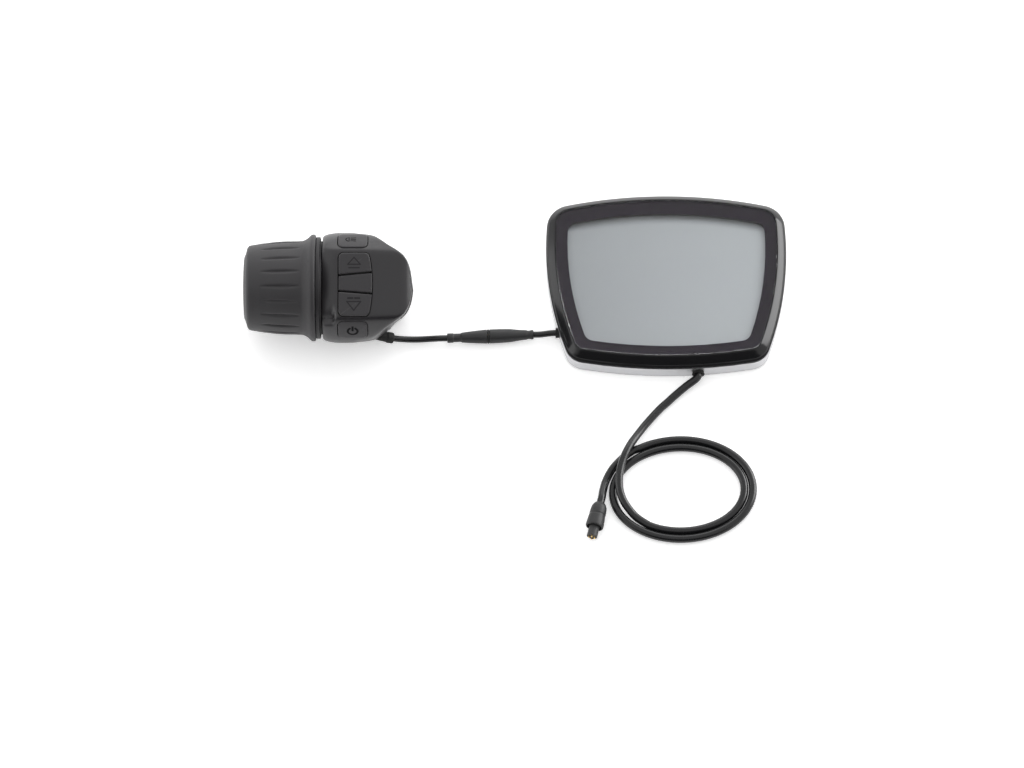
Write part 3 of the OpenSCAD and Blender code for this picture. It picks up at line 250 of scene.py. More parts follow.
film, film_in, film_out = new_group("handled_film", [("Scale", 60)], ["Film", "Dust", "Edge"])
place_node = film.nodes.new("ShaderNodeTexCoord")
broad = noise(film, place_node.outputs["Object"], film_in.outputs["Scale"], 4, 0.6)
specks = noise(film, place_node.outputs["Object"], maths(film, "MULTIPLY", film_in.outputs["Scale"], 28), 1)
link(film, broad, film_out.inputs["Film"])
link(film, maths(film, "MULTIPLY", maths(film, "GREATER_THAN", specks, 0.71), broad), film_out.inputs["Dust"])
shape = film.nodes.new("ShaderNodeNewGeometry")
link(film, maths(film, "MULTIPLY", maths(film, "SUBTRACT", shape.outputs["Pointiness"], 0.52), 9, clamp=True),
     film_out.inputs["Edge"])
print("shared effects:", grain.name, film.name)

# %% [markdown]
# Every material starts from the same recipe: a base colour that the film shifts a little, a roughness that the film
# and the grain break up, edges that are slightly paler where hands and tables rub them, and the grain as a bump. The
# blacks differ mostly in how much of the surround they mirror.

# %% Materials
COAT_ROUGH, BUMP_HEIGHT = 0.1, 0.05 * MM


def material(name, colour, rough=0.5, metallic=0.0, grain_scale=2200, grain_depth=0.15, film_scale=60, shift=0.12,
             rough_shift=0.12, edge=0.25, dust=0.05, coat=0.0, sheen=0.0, ior=1.46):
    made = bpy.data.materials.new(name)
    made.use_nodes = True
    tree = made.node_tree
    shader = tree.nodes["Principled BSDF"]
    grain_node = tree.nodes.new("ShaderNodeGroup")
    grain_node.node_tree = grain
    grain_node.inputs["Scale"].default_value = grain_scale
    film_node = tree.nodes.new("ShaderNodeGroup")
    film_node.node_tree = film
    film_node.inputs["Scale"].default_value = film_scale
    base = tree.nodes.new("ShaderNodeMix")
    base.data_type = "RGBA"
    base.inputs["A"].default_value = (*[c * (1 - shift) for c in colour], 1)
    base.inputs["B"].default_value = (*[min(1, c * (1 + shift)) for c in colour], 1)
    link(tree, film_node.outputs["Film"], base.inputs["Factor"])
    worn = tree.nodes.new("ShaderNodeMix")
    worn.data_type = "RGBA"
    worn.inputs["B"].default_value = (*[min(1, c * 1.5 + 0.03) for c in colour], 1)
    link(tree, base.outputs["Result"], worn.inputs["A"])
    amount = maths(tree, "ADD", maths(tree, "MULTIPLY", film_node.outputs["Edge"], edge),
                   maths(tree, "MULTIPLY", film_node.outputs["Dust"], dust), clamp=True)
    link(tree, amount, worn.inputs["Factor"])
    link(tree, worn.outputs["Result"], shader.inputs["Base Color"])
    spread = maths(tree, "MULTIPLY", maths(tree, "SUBTRACT", film_node.outputs["Film"], 0.5), rough_shift * 2)
    fleck = maths(tree, "MULTIPLY", maths(tree, "SUBTRACT", grain_node.outputs["Fleck"], 0.5), rough_shift)
    link(tree, maths(tree, "ADD", maths(tree, "ADD", spread, fleck), rough, clamp=True), shader.inputs["Roughness"])
    shader.inputs["Metallic"].default_value = metallic
    shader.inputs["IOR"].default_value = ior
    shader.inputs["Coat Weight"].default_value = coat
    shader.inputs["Coat Roughness"].default_value = COAT_ROUGH
    shader.inputs["Sheen Weight"].default_value = sheen
    bump = tree.nodes.new("ShaderNodeBump")
    bump.inputs["Strength"].default_value = grain_depth
    bump.inputs["Distance"].default_value = BUMP_HEIGHT
    link(tree, grain_node.outputs["Height"], bump.inputs["Height"])
    link(tree, bump.outputs["Normal"], shader.inputs["Normal"])
    return made


shell_silver = material("silver_paint", (0.56, 0.56, 0.575), 0.34, metallic=0.75, grain_scale=9000, grain_depth=0.12,
                        film_scale=30, shift=0.05, edge=0.1, coat=0.3)
frame_black = material("frame_gloss", (0.01, 0.01, 0.011), 0.16, grain_scale=1600, grain_depth=0.0, rough_shift=0.03,
                       edge=0.1, dust=0.02, ior=1.4)
lip_black = material("frame_lip", (0.014, 0.014, 0.015), 0.7, grain_scale=1900, grain_depth=0.3, edge=0.0, dust=0.02,
                     ior=1.12)
plastic_black = material("matt_plastic", (0.02, 0.02, 0.021), 0.5, grain_scale=2600, grain_depth=0.35)
housing_black = material("housing_plastic", (0.0145, 0.013, 0.0155), 0.38, grain_scale=2400, grain_depth=0.3,
                         film_scale=45, edge=0.35, dust=0.08, ior=1.53)
grip_black = material("grip_rubber", (0.0285, 0.027, 0.0295), 0.62, grain_scale=1700, grain_depth=0.6, film_scale=70,
                      shift=0.2, edge=0.5, dust=0.1, sheen=0.12)
key_black = material("key_rubber", (0.031, 0.029, 0.032), 0.55, grain_scale=2100, grain_depth=0.35, film_scale=90,
                     shift=0.15, edge=0.5, dust=0.08, sheen=0.05)
mark_black = material("key_marks", (0.006, 0.006, 0.007), 0.6, grain_scale=2600, grain_depth=0.2, edge=0.0, dust=0.0,
                      ior=1.15)
faint_mark = material("faint_marks", (0.016, 0.015, 0.017), 0.6, grain_scale=2600, grain_depth=0.2, edge=0.0,
                      dust=0.0, ior=1.33)
seal_black = material("seal_rubber", (0.008, 0.008, 0.008), 0.7, grain_scale=3000, grain_depth=0.4, edge=0.1)
jacket_black = material("cable_jacket", (0.005, 0.005, 0.006), 0.26, grain_scale=2800, grain_depth=0.2,
                        film_scale=110, edge=0.1, dust=0.05)
border_black = material("printed_border", (0.008, 0.0035, 0.0105), 0.6, grain_scale=4000, grain_depth=0.0, edge=0.0,
                        dust=0.0, ior=1.1)
white_plastic = material("white_plastic", (0.72, 0.72, 0.7), 0.5, grain_depth=0.2, shift=0.04, edge=0.0)
board_green = material("solder_resist", (0.02, 0.12, 0.05), 0.35, grain_scale=900, grain_depth=0.15, film_scale=220,
                       shift=0.35, coat=0.3)
steel = material("zinc_steel", (0.55, 0.55, 0.57), 0.3, metallic=1.0, grain_scale=3500, grain_depth=0.15, edge=0.0)
brass = material("bright_brass", (0.72, 0.5, 0.2), 0.28, metallic=1.0, grain_scale=3500, grain_depth=0.15, edge=0.0)
SLOT_FINISH = {"silver_shell": shell_silver, "black_gloss": frame_black, "black_matte": plastic_black,
               "white_plastic": white_plastic, "board": board_green, "steel": steel, "brass": brass,
               "soft_rubber": seal_black, "grip_rubber": grip_black, "key_rubber": key_black,
               "cable_jacket": jacket_black}
print("materials:", len(bpy.data.materials))

# %% [markdown]
# Two finishes have light and shade painted in by place on their piece: the silver shell has a painted dark line of
# shade along its lower edge, and the panel behind the window has painted shade below its border and is painted a
# little lighter to the right. Both multiply the base colour by a value.

# %% Painted light and shade by place
def place_on(made):
    """The object's own X, Y and Z, in a material."""
    tree = made.node_tree
    axes = tree.nodes.new("ShaderNodeSeparateXYZ")
    link(tree, tree.nodes.new("ShaderNodeTexCoord").outputs["Object"], axes.inputs[0])
    return axes.outputs


def smooth_rise(tree, value, start, end, low):
    """A share that rises from low to one while the value goes from start to end, in millimetres."""
    node = tree.nodes.new("ShaderNodeMapRange")
    node.interpolation_type = "SMOOTHSTEP"
    node.inputs["From Min"].default_value = start * MM
    node.inputs["From Max"].default_value = end * MM
    node.inputs["To Min"].default_value = low
    link(tree, value, node.inputs["Value"])
    return node.outputs["Result"]


def mix_by_ray(tree, kind, usual, special, target):
    """Puts out one shader, and another for one kind of ray."""
    mixed = tree.nodes.new("ShaderNodeMixShader")
    link(tree, tree.nodes.new("ShaderNodeLightPath").outputs[kind], mixed.inputs[0])
    link(tree, usual.outputs[0], mixed.inputs[1])
    link(tree, special.outputs[0], mixed.inputs[2])
    link(tree, mixed.outputs[0], tree.nodes[target].inputs["Surface"])


def paint_shade(made, share):
    """Paints light and shade into a material: multiplies its base colour by a share."""
    tree = made.node_tree
    base = tree.nodes["Principled BSDF"].inputs["Base Color"]
    shaded = tree.nodes.new("ShaderNodeVectorMath")
    shaded.operation = "SCALE"
    link(tree, base.links[0].from_socket, shaded.inputs[0])
    link(tree, share, shaded.inputs["Scale"])
    link(tree, shaded.outputs[0], base)


# Painted shade: a dark line along the shell's lower edge, where it meets the table.
PAINTED_EDGE_SHADE_FROM, PAINTED_EDGE_SHADE_TO, PAINTED_EDGE_SHADE_SHARE = 0.9, 1.7, 0.55
paint_shade(shell_silver, smooth_rise(shell_silver.node_tree, place_on(shell_silver)["Z"], PAINTED_EDGE_SHADE_FROM, PAINTED_EDGE_SHADE_TO,
                                     PAINTED_EDGE_SHADE_SHARE))
print("lower line of the shell shaded up to", PAINTED_EDGE_SHADE_TO, "mm")

# %% [markdown]
# ## The leads
# A lead is a fixed length of round cable. The main lead comes straight out of its gland, drops to the table, climbs
# over its own turns, lies in two oval turns and ends in the plug. The remote lead runs from the remote's outlet
# through the inline connector and into the display's left wall. Each is a smooth line through points on its route, in
# millimetres.

# %% Routes of the leads
MAIN_D = 3.5
REMOTE_D = 2.8
main_in = [(13.4, -39.6, 3.7), (13.4, -43.7, 3.7), (12.3, -45.8, 3.5), (8.2, -48.9, 2.8), (3.9, -52.5, 2.1),
           (0, -56.3, 1.85), (-3.8, -60.1, 1.9), (-9.4, -67.2, 2.5), (-13.4, -73.2, 3.5), (-16.5, -78.6, 5),
           (-18.8, -83.6, 5.8), (-20.5, -88.6, 5.9), (-21.6, -94.4, 5.9), (-21.6, -100.2, 5.4), (-20.2, -105.2, 4.5),
           (-17.4, -109.6, 3.3), (-13.9, -113.2, 2.2)]
main_out = [(-15.9, -80.5, 1.8), (-20.3, -84.2, 1.8), (-24.5, -89.2, 1.8), (-27.4, -95.2, 1.9),
            (-28.7, -100.4, 2.8), (-29.2, -103.8, 3.6)]
PLUG_AT = Vector((-30, -107.2, 3.9))
remote_route = [(-130, -26.1, 7.92), (-124, -26.1, 5.82), (-119.6, -26.1, 4.27), (-114.6, -25.7, 2.7),
                (-109.6, -25.4, 2), (-104.6, -25.3, 2.3), (-100.4, -25.4, 3), (-96.5, -25.4, 3.2)]
JOINT_AT = Vector((-96.5, -25.4, 3.2))
JOINT_TURN = math.radians(2.7)
JOINT_LENGTH = 37.9
JOINT_END = JOINT_AT + JOINT_LENGTH * Vector((math.cos(JOINT_TURN), math.sin(JOINT_TURN), 0))
pigtail_route = [(-55.6, -23.7, 3.5), (-51.8, -23.3, 3.7), (-48.93, -23.09, 3.7), (-44.53, -23.09, 3.7)]


# The oval turns: the half sizes at the zero angle, which grow by the pitch in a turn, and where they start and end
TURN_HALF_W, TURN_HALF_H, TURN_PITCH, TURN_ZERO = 26.7, 19.4, 3.7, 270
TURN_MIDDLE, TURN_LEAN = Vector((5, -99.9, MAIN_D / 2)), math.radians(4)
TURN_FROM, TURN_TO, TURN_STEPS = 235, 840, 160
LINE_STEPS = 8


def turn_point(angle):
    grow = TURN_PITCH * (angle - TURN_ZERO) / 360
    a = math.radians(angle)
    flat = Vector(((TURN_HALF_W + grow) * math.cos(a), (TURN_HALF_H + grow) * math.sin(a), 0))
    return TURN_MIDDLE + Matrix.Rotation(TURN_LEAN, 3, "Z") @ flat


def smooth_line(points):
    """A smooth line through every point."""
    points = [Vector(p) for p in points]
    made = []
    for i in range(len(points) - 1):
        a, b, c, d = points[max(i - 1, 0)], points[i], points[i + 1], points[min(i + 2, len(points) - 1)]
        for k in range(LINE_STEPS):
            t = k / LINE_STEPS
            made.append(0.5 * (2 * b + (c - a) * t + (2 * a - 5 * b + 4 * c - d) * t * t
                               + (3 * b - a - 3 * c + d) * t ** 3))
    return made + [points[-1]]


def length_of(points):
    return sum((b - a).length for a, b in zip(points, points[1:]))


turns = [turn_point(TURN_FROM + (TURN_TO - TURN_FROM) * k / TURN_STEPS) for k in range(TURN_STEPS + 1)]
main_line = smooth_line(main_in + [turns[0]])[:-1] + turns[:-1] + smooth_line([turns[-1]] + main_out + [PLUG_AT])
remote_line = (smooth_line(remote_route)[:-1] + [JOINT_AT.lerp(JOINT_END, k / 12) for k in range(12)]
               + smooth_line([JOINT_END] + pigtail_route))
print("main lead", round(length_of(main_line), 1), "mm, remote lead", round(length_of(remote_line), 1), "mm")

# %% Lead bodies
def lead(name, points, diameter, *nodes):
    """A round cable along a line, in place of the frame's plain nodes."""
    curve = bpy.data.curves.new(name, "CURVE")
    curve.dimensions = "3D"
    curve.bevel_depth = diameter / 2 * MM
    curve.bevel_resolution = 6
    curve.use_fill_caps = True
    spline = curve.splines.new("POLY")
    spline.points.add(len(points) - 1)
    for target, p in zip(spline.points, points):
        target.co = (*(p * MM), 1)
    spline.use_smooth = True
    obj = bpy.data.objects.new(name, curve)
    bpy.context.scene.collection.objects.link(obj)
    curve.materials.append(jacket_black)
    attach(obj, ROOT)
    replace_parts(obj, *nodes)
    return obj


main_lead = lead("main_lead", main_line, MAIN_D, "main_cable_lead", "main_cable_coil", "main_cable_tail")
remote_lead = lead("remote_lead", remote_line, REMOTE_D, "remote_cable", "display_pigtail")
print("leads:", main_lead.name, remote_lead.name)

# %% [markdown]
# ## The display's outline
# All four sides bulge: the sides are arcs of 155 mm radius centred well above the middle, so the display narrows
# towards the bottom, and the top and bottom are flatter arcs. An outline moved inwards keeps the same centres.

# %% Outline
HALF_W, HALF_H = 53, 43
SIDE_ARC, SIDE_ARC_Y, TOP_ARC, BOTTOM_ARC = 155, 17, 200, 215
UPPER_CORNER, LOWER_CORNER = 11, 9
ARC_STEPS, CORNER_STEPS = 22, 12


def meet(a, a_r, b, b_r, side):
    """Where two circles meet, on one side of the line between their centres."""
    d = b - a
    u = d.normalized()
    along = (a_r * a_r - b_r * b_r + d.length_squared) / (2 * d.length)
    return a + along * u + side * math.sqrt(a_r * a_r - along * along) * Vector((-u.y, u.x))


def arc(c, r, start, end, steps):
    angles = [start + (end - start) * i / steps for i in range(steps)]
    return [(c.x + r * math.cos(a), c.y + r * math.sin(a)) for a in angles]


def outline(inset):
    """The display's outline moved inwards: eight arcs, from the lower end of the right side round to it again."""
    side_c, top_c = Vector((HALF_W - SIDE_ARC, SIDE_ARC_Y)), Vector((0, HALF_H - TOP_ARC))
    bottom_c = Vector((0, BOTTOM_ARC - HALF_H))
    side_r, top_r, bottom_r = SIDE_ARC - inset, TOP_ARC - inset, BOTTOM_ARC - inset
    upper_r, lower_r = UPPER_CORNER - inset, LOWER_CORNER - inset
    up = meet(side_c, side_r - upper_r, top_c, top_r - upper_r, 1)
    low = meet(side_c, side_r - lower_r, bottom_c, bottom_r - lower_r, -1)
    a1, a2 = [math.atan2(p.y - side_c.y, p.x - side_c.x) for p in (low, up)]
    a3, a4 = math.atan2(up.y - top_c.y, up.x), math.atan2(low.y - bottom_c.y, low.x)
    half = math.pi  # half a turn
    return (arc(side_c, side_r, a1, a2, ARC_STEPS) + arc(up, upper_r, a2, a3, CORNER_STEPS)
            + arc(top_c, top_r, a3, half - a3, ARC_STEPS)
            + arc(Vector((-up.x, up.y)), upper_r, half - a3, half - a2, CORNER_STEPS)
            + arc(Vector((-side_c.x, side_c.y)), side_r, half - a2, half - a1, ARC_STEPS)
            + arc(Vector((-low.x, low.y)), lower_r, half - a1, half - a4, CORNER_STEPS)
            + arc(bottom_c, bottom_r, half - a4, 2 * half + a4, ARC_STEPS)
            + arc(low, lower_r, 2 * half + a4, 2 * half + a1, CORNER_STEPS))


def outline_rings(levels):
    """Rings of the outline at (inset, height) levels."""
    return [[(x, y, z) for x, y in outline(inset)] for inset, z in levels]


print("outline of", len(outline(0)), "points")

# %% [markdown]
# ## Front frame
# The frame is a black moulding with a broad sloping edge. It is a closed ring in section: the sloping outer edge, the
# step that the window lies on, and the skirt that goes down inside the silver shell. Its lower lip is matt.

# %% Front frame
MATT_TO = 9.9
lip = [(2.15, 7.95), (0.35, 7.95), (0.12, 8.0), (0.02, 8.12), (0.03, 8.3), (0.05, 8.8), (0.14, 9.3), (0.32, 9.8)]
slope = [(0.58, 10.22), (0.9, 10.6), (1.4, 11.06), (2.0, 11.58), (2.6, 12.09), (3.0, 12.42), (3.3, 12.65),
         (3.55, 12.82), (3.8, 12.94), (4.0, 12.99), (4.06, 12.98), (4.1, 12.9)]
window_step = [(4.1, 11.45), (5.8, 11.45), (5.8, 10.6), (4.3, 10.6)]
skirt = [(4.3, 8.7), (3.35, 8.6), (3.35, 5.35), (3.25, 5.3), (2.25, 5.3), (2.15, 5.4)]
points, faces = skin(outline_rings(lip + slope + window_step + skirt), loop=True)
front = piece("front_frame_shell", points, faces, frame_black, angle=50)
front.data.materials.append(lip_black)
for face in front.data.polygons:
    if face.center.z < MATT_TO * MM:
        face.material_index = 1
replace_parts(front, "front_frame")
print("front frame faces", len(front.data.polygons))

# %% [markdown]
# ## Window and panel
# The window is a flat clear sheet with a polished rim, and its black border is a printed sheet on its back. The panel
# behind it is switched off, so it shows the flat grey of its polariser, with painted shade along the upper border
# and painted light that makes it a little lighter to the right.

# %% Window
PANEL_TOP, PANEL_TOP_ARC, SHADE_FROM, SHADE_TO, SHADE_SHARE = 32.4, 188, -0.8, 4.8, 0.36
RIGHT_PAINTED_LIGHT = 3.2
glass = bpy.data.materials.new("clear_window")
glass.use_nodes = True
tree = glass.node_tree
shader = tree.nodes["Principled BSDF"]
shader.inputs["Base Color"].default_value = (0.96, 0.97, 0.97, 1)
shader.inputs["Transmission Weight"].default_value = 1
shader.inputs["Metallic"].default_value = 0
shader.inputs["IOR"].default_value = 1.31
film_node = tree.nodes.new("ShaderNodeGroup")
film_node.node_tree = film
film_node.inputs["Scale"].default_value = 40
link(tree, maths(tree, "MULTIPLY", film_node.outputs["Film"], 0.03), shader.inputs["Roughness"])
mix_by_ray(tree, "Is Shadow Ray", shader, tree.nodes.new("ShaderNodeBsdfTransparent"), "Material Output")

points, faces = skin(outline_rings([(4.3, 11.62), (4.25, 11.66), (4.25, 12.85), (4.29, 12.95), (4.38, 12.99)]))
window = piece("window_glass", points, faces, glass, angle=15)
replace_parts(window, "cover_window")

panel_grey = material("panel_polariser", (0.321, 0.337, 0.352), 0.45, grain_scale=6000, grain_depth=0.04,
                      film_scale=14, shift=0.05, rough_shift=0.04, edge=0.0, dust=0.0)
tree = panel_grey.node_tree
# Painted shade and light: the panel's base colour is darkened below the border's upper edge and lightened to the right.
axes = place_on(panel_grey)
sag = maths(tree, "MULTIPLY", maths(tree, "MULTIPLY", axes["X"], axes["X"]), 1 / (2 * PANEL_TOP_ARC * MM))
below = maths(tree, "SUBTRACT", maths(tree, "SUBTRACT", PANEL_TOP * MM, sag), axes["Y"])
painted_right_light = maths(tree, "ADD", maths(tree, "MULTIPLY", axes["X"], RIGHT_PAINTED_LIGHT), 1.0)
painted_border_shade = smooth_rise(tree, below, SHADE_FROM, SHADE_TO, SHADE_SHARE)
paint_shade(panel_grey, maths(tree, "MULTIPLY", painted_border_shade, painted_right_light))
print("window built")

# %% [markdown]
# ## The remote's frame
# The remote's own X runs along the bar from the grip's free end, and its Z out of the flat facet that carries the
# keys. The housing is a turned barrel, cut by the facet and narrowed towards the right by its outline seen on the
# facet. Where two of these surfaces meet, a soft minimum of the distances rounds the edge, as the mould does.

# %% Remote housing shape
LEAN = math.radians(24.4)
REMOTE = Matrix.Translation((-184.9, -11.7, 24)) @ Matrix.Rotation(LEAN, 4, "X")
HOUSE_X, HOUSE_LEN, HOUSE_R, FACET = 34.428, 39.1, 24.0, 19.1
HOUSE_WALL, TUBE_OPENING, SLEEVE_SEAT = 2.0, 14.58, 13.35
HOLLOW_FROM, HOLLOW_STEP, HOLLOW_COUNT = 0.047, 0.04, 21
# Profiles along the housing, as (share of its length, share of the radius or of the facet's height)
barrel = [(0, 0.93), (0.02, 0.955), (0.046, 0.972), (0.113, 0.995), (0.18, 1.006), (0.4, 1.006), (0.6, 1),
          (0.89, 0.985), (0.94, 0.965), (0.975, 0.93), (1, 0.87)]
plan = [(0, 1.03), (0.31, 1.02), (0.4, 0.985), (0.5, 0.96), (0.56, 0.935), (0.6, 0.9), (0.72, 0.758), (0.86, 0.6),
        (0.91, 0.527), (0.945, 0.44), (0.972, 0.33), (0.988, 0.22), (0.997, 0.1), (1, 0.02)]
facet_line = [(0, 0.9), (0.174, 1), (0.86, 1), (0.93, 0.975), (0.975, 0.91), (1, 0.82)]
belly = [(0, 1.02), (0.6, 1.02), (0.86, 0.9), (0.96, 0.78), (1, 0.68)]


# The wall at the narrow end leans inwards below a height. Left of the keys the facet turns down at its low side.
WALL_DRAFT, DRAFT_HEIGHT, DRAFT_START, DRAFT_EASE = math.tan(math.radians(3.6)), 16.5, 0.68, 8
LOW_TURN, LOW_TURN_FROM, LOW_TURN_REACH, LOW_TURN_END, LOW_TURN_EASE = 0.018, 5, 12, 0.174, 20
FACET_WALL, LEAST_REACH, NEARLY_FLAT, SOFTNESS = 1.6, 0.3, 0.02, 60


def between(value, low, high):
    return min(high, max(low, value))


def house_radius(share, angle, wall=0.0):
    """Distance from the bar's axis to the surface, at a share of the length and an angle from the facet's normal."""
    sine, cosine = abs(math.sin(angle)), math.cos(angle)
    limits = [eased(barrel, share) * HOUSE_R - wall]
    draft = WALL_DRAFT * between((share - DRAFT_START) * DRAFT_EASE, 0, 1)
    if sine > NEARLY_FLAT and sine > draft * cosine:
        reach = eased(plan, share) * HOUSE_R - wall * min(1, 2 * eased(plan, share))
        leaning = cosine * reach < DRAFT_HEIGHT * sine
        limits.append(max(LEAST_REACH, reach - draft * DRAFT_HEIGHT) / (sine - draft * cosine) if leaning
                      else reach / sine)
    if cosine > NEARLY_FLAT:
        height = eased(facet_line, share) * FACET - min(wall, FACET_WALL)
        low_side = between(-math.sin(angle) / cosine * height - LOW_TURN_FROM, 0, LOW_TURN_REACH)
        low_side *= between((LOW_TURN_END - share) * LOW_TURN_EASE, 0, 1)
        limits.append((height - LOW_TURN * low_side ** 2) / cosine)
    if cosine < -NEARLY_FLAT:
        limits.append((eased(belly, share) * HOUSE_R - wall) / -cosine)
    low = min(limits)
    return low * sum((v / low) ** -SOFTNESS for v in limits) ** (-1 / SOFTNESS)


def house_rings(shares, wall=0.0, sides=240):
    angles = [2 * math.pi * k / sides for k in range(sides)]
    return [[(HOUSE_X + s * HOUSE_LEN, r * math.sin(a), r * math.cos(a))
             for a in angles for r in [max(0.4, house_radius(s, a, wall))]] for s in shares]


steps = [0, 0.003] + [k / 60 for k in range(1, 54)] + [0.895, 0.91, 0.925, 0.94, 0.95, 0.96, 0.97, 0.978, 0.985, 0.99,
                                                    0.994, 0.997, 1]
outer = house_rings(steps)
# Two rings round the edge at the running gap
outer[0] = [(x + 0.05, y * 0.993, z * 0.993) for x, y, z in outer[0]]
outer.insert(0, [(x - 0.05, y * 0.985, z * 0.985) for x, y, z in outer[0]])
points, faces = skin(outer)
house = piece("house_block", points, faces, housing_black, body=None)
hollow_steps = [HOLLOW_FROM + HOLLOW_STEP * k for k in range(HOLLOW_COUNT)]
points, faces = skin(house_rings(hollow_steps, wall=HOUSE_WALL, sides=120))
hollow = piece("house_hollow", points, faces, None, body=None)
bores = [turned("bore_cut", [(a, r), (b, r)], None, body=None, sides=160)
         for a, b, r in ((30, 37, TUBE_OPENING), (36, 80, SLEEVE_SEAT))]


def round_corners(x0, x1, y0, y1, r, steps=6):
    corners = ((x1 - r, y0 + r, -90), (x1 - r, y1 - r, 0), (x0 + r, y1 - r, 90), (x0 + r, y0 + r, 180))
    return [(x + r * math.cos(math.radians(a + 90 * k / steps)), y + r * math.sin(math.radians(a + 90 * k / steps)))
            for x, y, a in corners for k in range(steps + 1)]


PAD_X, PAD_LEN, PAD_W, BULGE, PAD_CORNER = 41.6, 14.7, 27.6, 60.0, 2.3


def pad_outline(grow):
    """The pad's outline: three straight sides and a right edge that bulges, with round corners."""
    low, x0, r, bulge = PAD_W / 2 + grow, PAD_X - grow, PAD_CORNER + grow, BULGE + grow
    middle = PAD_X + PAD_LEN - BULGE
    right = middle + math.sqrt((bulge - r) ** 2 - (low - r) ** 2)
    lean = math.degrees(math.asin((low - r) / (bulge - r)))
    edge = []
    for cx, cy, start, end in ((right, r - low, -90, -lean), (right, low - r, lean, 90), (x0 + r, low - r, 90, 180),
                               (x0 + r, r - low, 180, 270)):
        edge += [(cx + r * math.cos(a), cy + r * math.sin(a))
                 for a in [math.radians(start + (end - start) * k / 8) for k in range(9)]]
    fine_edge = []
    for (ax, ay), (bx, by) in zip(edge, edge[1:] + edge[:1]):
        count = max(1, int(math.hypot(bx - ax, by - ay) / 0.6))
        for k in range(count):
            x, y = ax + (bx - ax) * k / count, ay + (by - ay) * k / count
            on_bulge = ax > right and bx > right
            fine_edge.append((middle + math.sqrt(bulge ** 2 - y * y) if on_bulge and count > 3 else x, y))
    return fine_edge


def prism(name, flat, z0, z1, turn=0.0):
    points, faces = skin([[(x, y, z) for x, y in flat] for z in (z0, z1)])
    return piece(name, points, faces, None, body=None, place=Matrix.Rotation(-math.radians(turn), 4, "X"))


SIDE_X, SIDE_LEN, SIDE_W, SIDE_CORNER = 41.3, 12.8, 10.8, 2.6
LIGHT_TURN, POWER_TURN = 54.5, -54.5


def side_outline(grow, steps=8):
    return round_corners(SIDE_X - grow, SIDE_X + SIDE_LEN + grow, -SIDE_W / 2 - grow, SIDE_W / 2 + grow,
                         SIDE_CORNER + grow, steps)


KEY_GAP = 0.35
pockets = [prism("pad_cut", pad_outline(KEY_GAP), 15, 30),
           prism("light_cut", side_outline(KEY_GAP), 20, 30, LIGHT_TURN),
           prism("power_cut", side_outline(KEY_GAP), 20, 30, POWER_TURN)]
carve(house, [hollow] + bores + pockets)
print("housing faces", len(house.data.polygons))

# %% [markdown]
# The housing comes apart along the bar's axis into an upper and a lower half shell, with a hairline gap between them.
# The lower half has the slanting hole out of which the remote lead leaves.

# %% Half shells
def box_block(name, low, high):
    flat = [(low[0], low[1]), (high[0], low[1]), (high[0], high[1]), (low[0], high[1])]
    return prism(name, flat, low[2], high[2])


def put_on(obj, place, body):
    """Moves a piece built in the remote's frame to its place and lets it ride on a body."""
    move = place.copy()
    move.translation = place.translation * MM
    obj.data.transform(move)
    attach(obj, body)
    return obj


lower = house.copy()
lower.data = house.data.copy()
lower.name = "lower_half"
bpy.context.scene.collection.objects.link(lower)
house.name = "upper_half"
carve(house, [box_block("keep_up", (30, -30, 0.04), (80, 30, 30))], "INTERSECT", angle=32)
carve(lower, [box_block("keep_down", (30, -30, -30), (80, 30, -0.04))], "INTERSECT", angle=32)
OUTLET = Matrix.Translation((-126.504, -26.1, 6.72)) @ Matrix.Rotation(math.radians(19.3), 4, "Y")
channel = turned("relief_cut", [(-9, 1.5), (-3, 1.5), (-3, 1.9), (0, 1.95), (3.9, 2.35), (4.4, 2.6), (26, 2.6)], None,
                 body=None, place=REMOTE.inverted() @ OUTLET, sides=64)
screw_cuts = [turned("screw_cut", [(-30, r), (high, r)], None, body=None, sides=48,
                     place=Matrix.Translation((x, y, 0)) @ Matrix.Rotation(-math.pi / 2, 4, "Y"))
              for x, y, r, high in ((62.13, -15.6, 2.0, -14), (62.13, 15.6, 2.0, -14), (52.02, 0, 2.1, -13.35))]
carve(lower, [channel] + screw_cuts, angle=32)
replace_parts(put_on(house, REMOTE, ROOT), "upper_shell")
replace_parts(put_on(lower, REMOTE, ROOT), "lower_shell")
print("half shells", len(house.data.polygons), len(lower.data.polygons))

# %% [markdown]
# ## Keys
# Three rubber keys share the pad on the facet, with slanted seams between them, and two more sit in the round flanks.
# Each has a flat crown that eases into its sides.

# %% Key shapes
def clip(flat, keep):
    made = []
    for a, b in zip(flat, flat[1:] + flat[:1]):
        va, vb = keep(a), keep(b)
        if va >= 0:
            made.append(a)
        if va * vb < 0:
            t = va / (va - vb)
            made.append((a[0] + (b[0] - a[0]) * t, a[1] + (b[1] - a[1]) * t))
    return made


def seam(left, right, sign, gap):
    def keep(p):
        height = left + (right - left) * (p[0] - PAD_X) / PAD_LEN
        return sign * (p[1] - height) - gap
    return keep


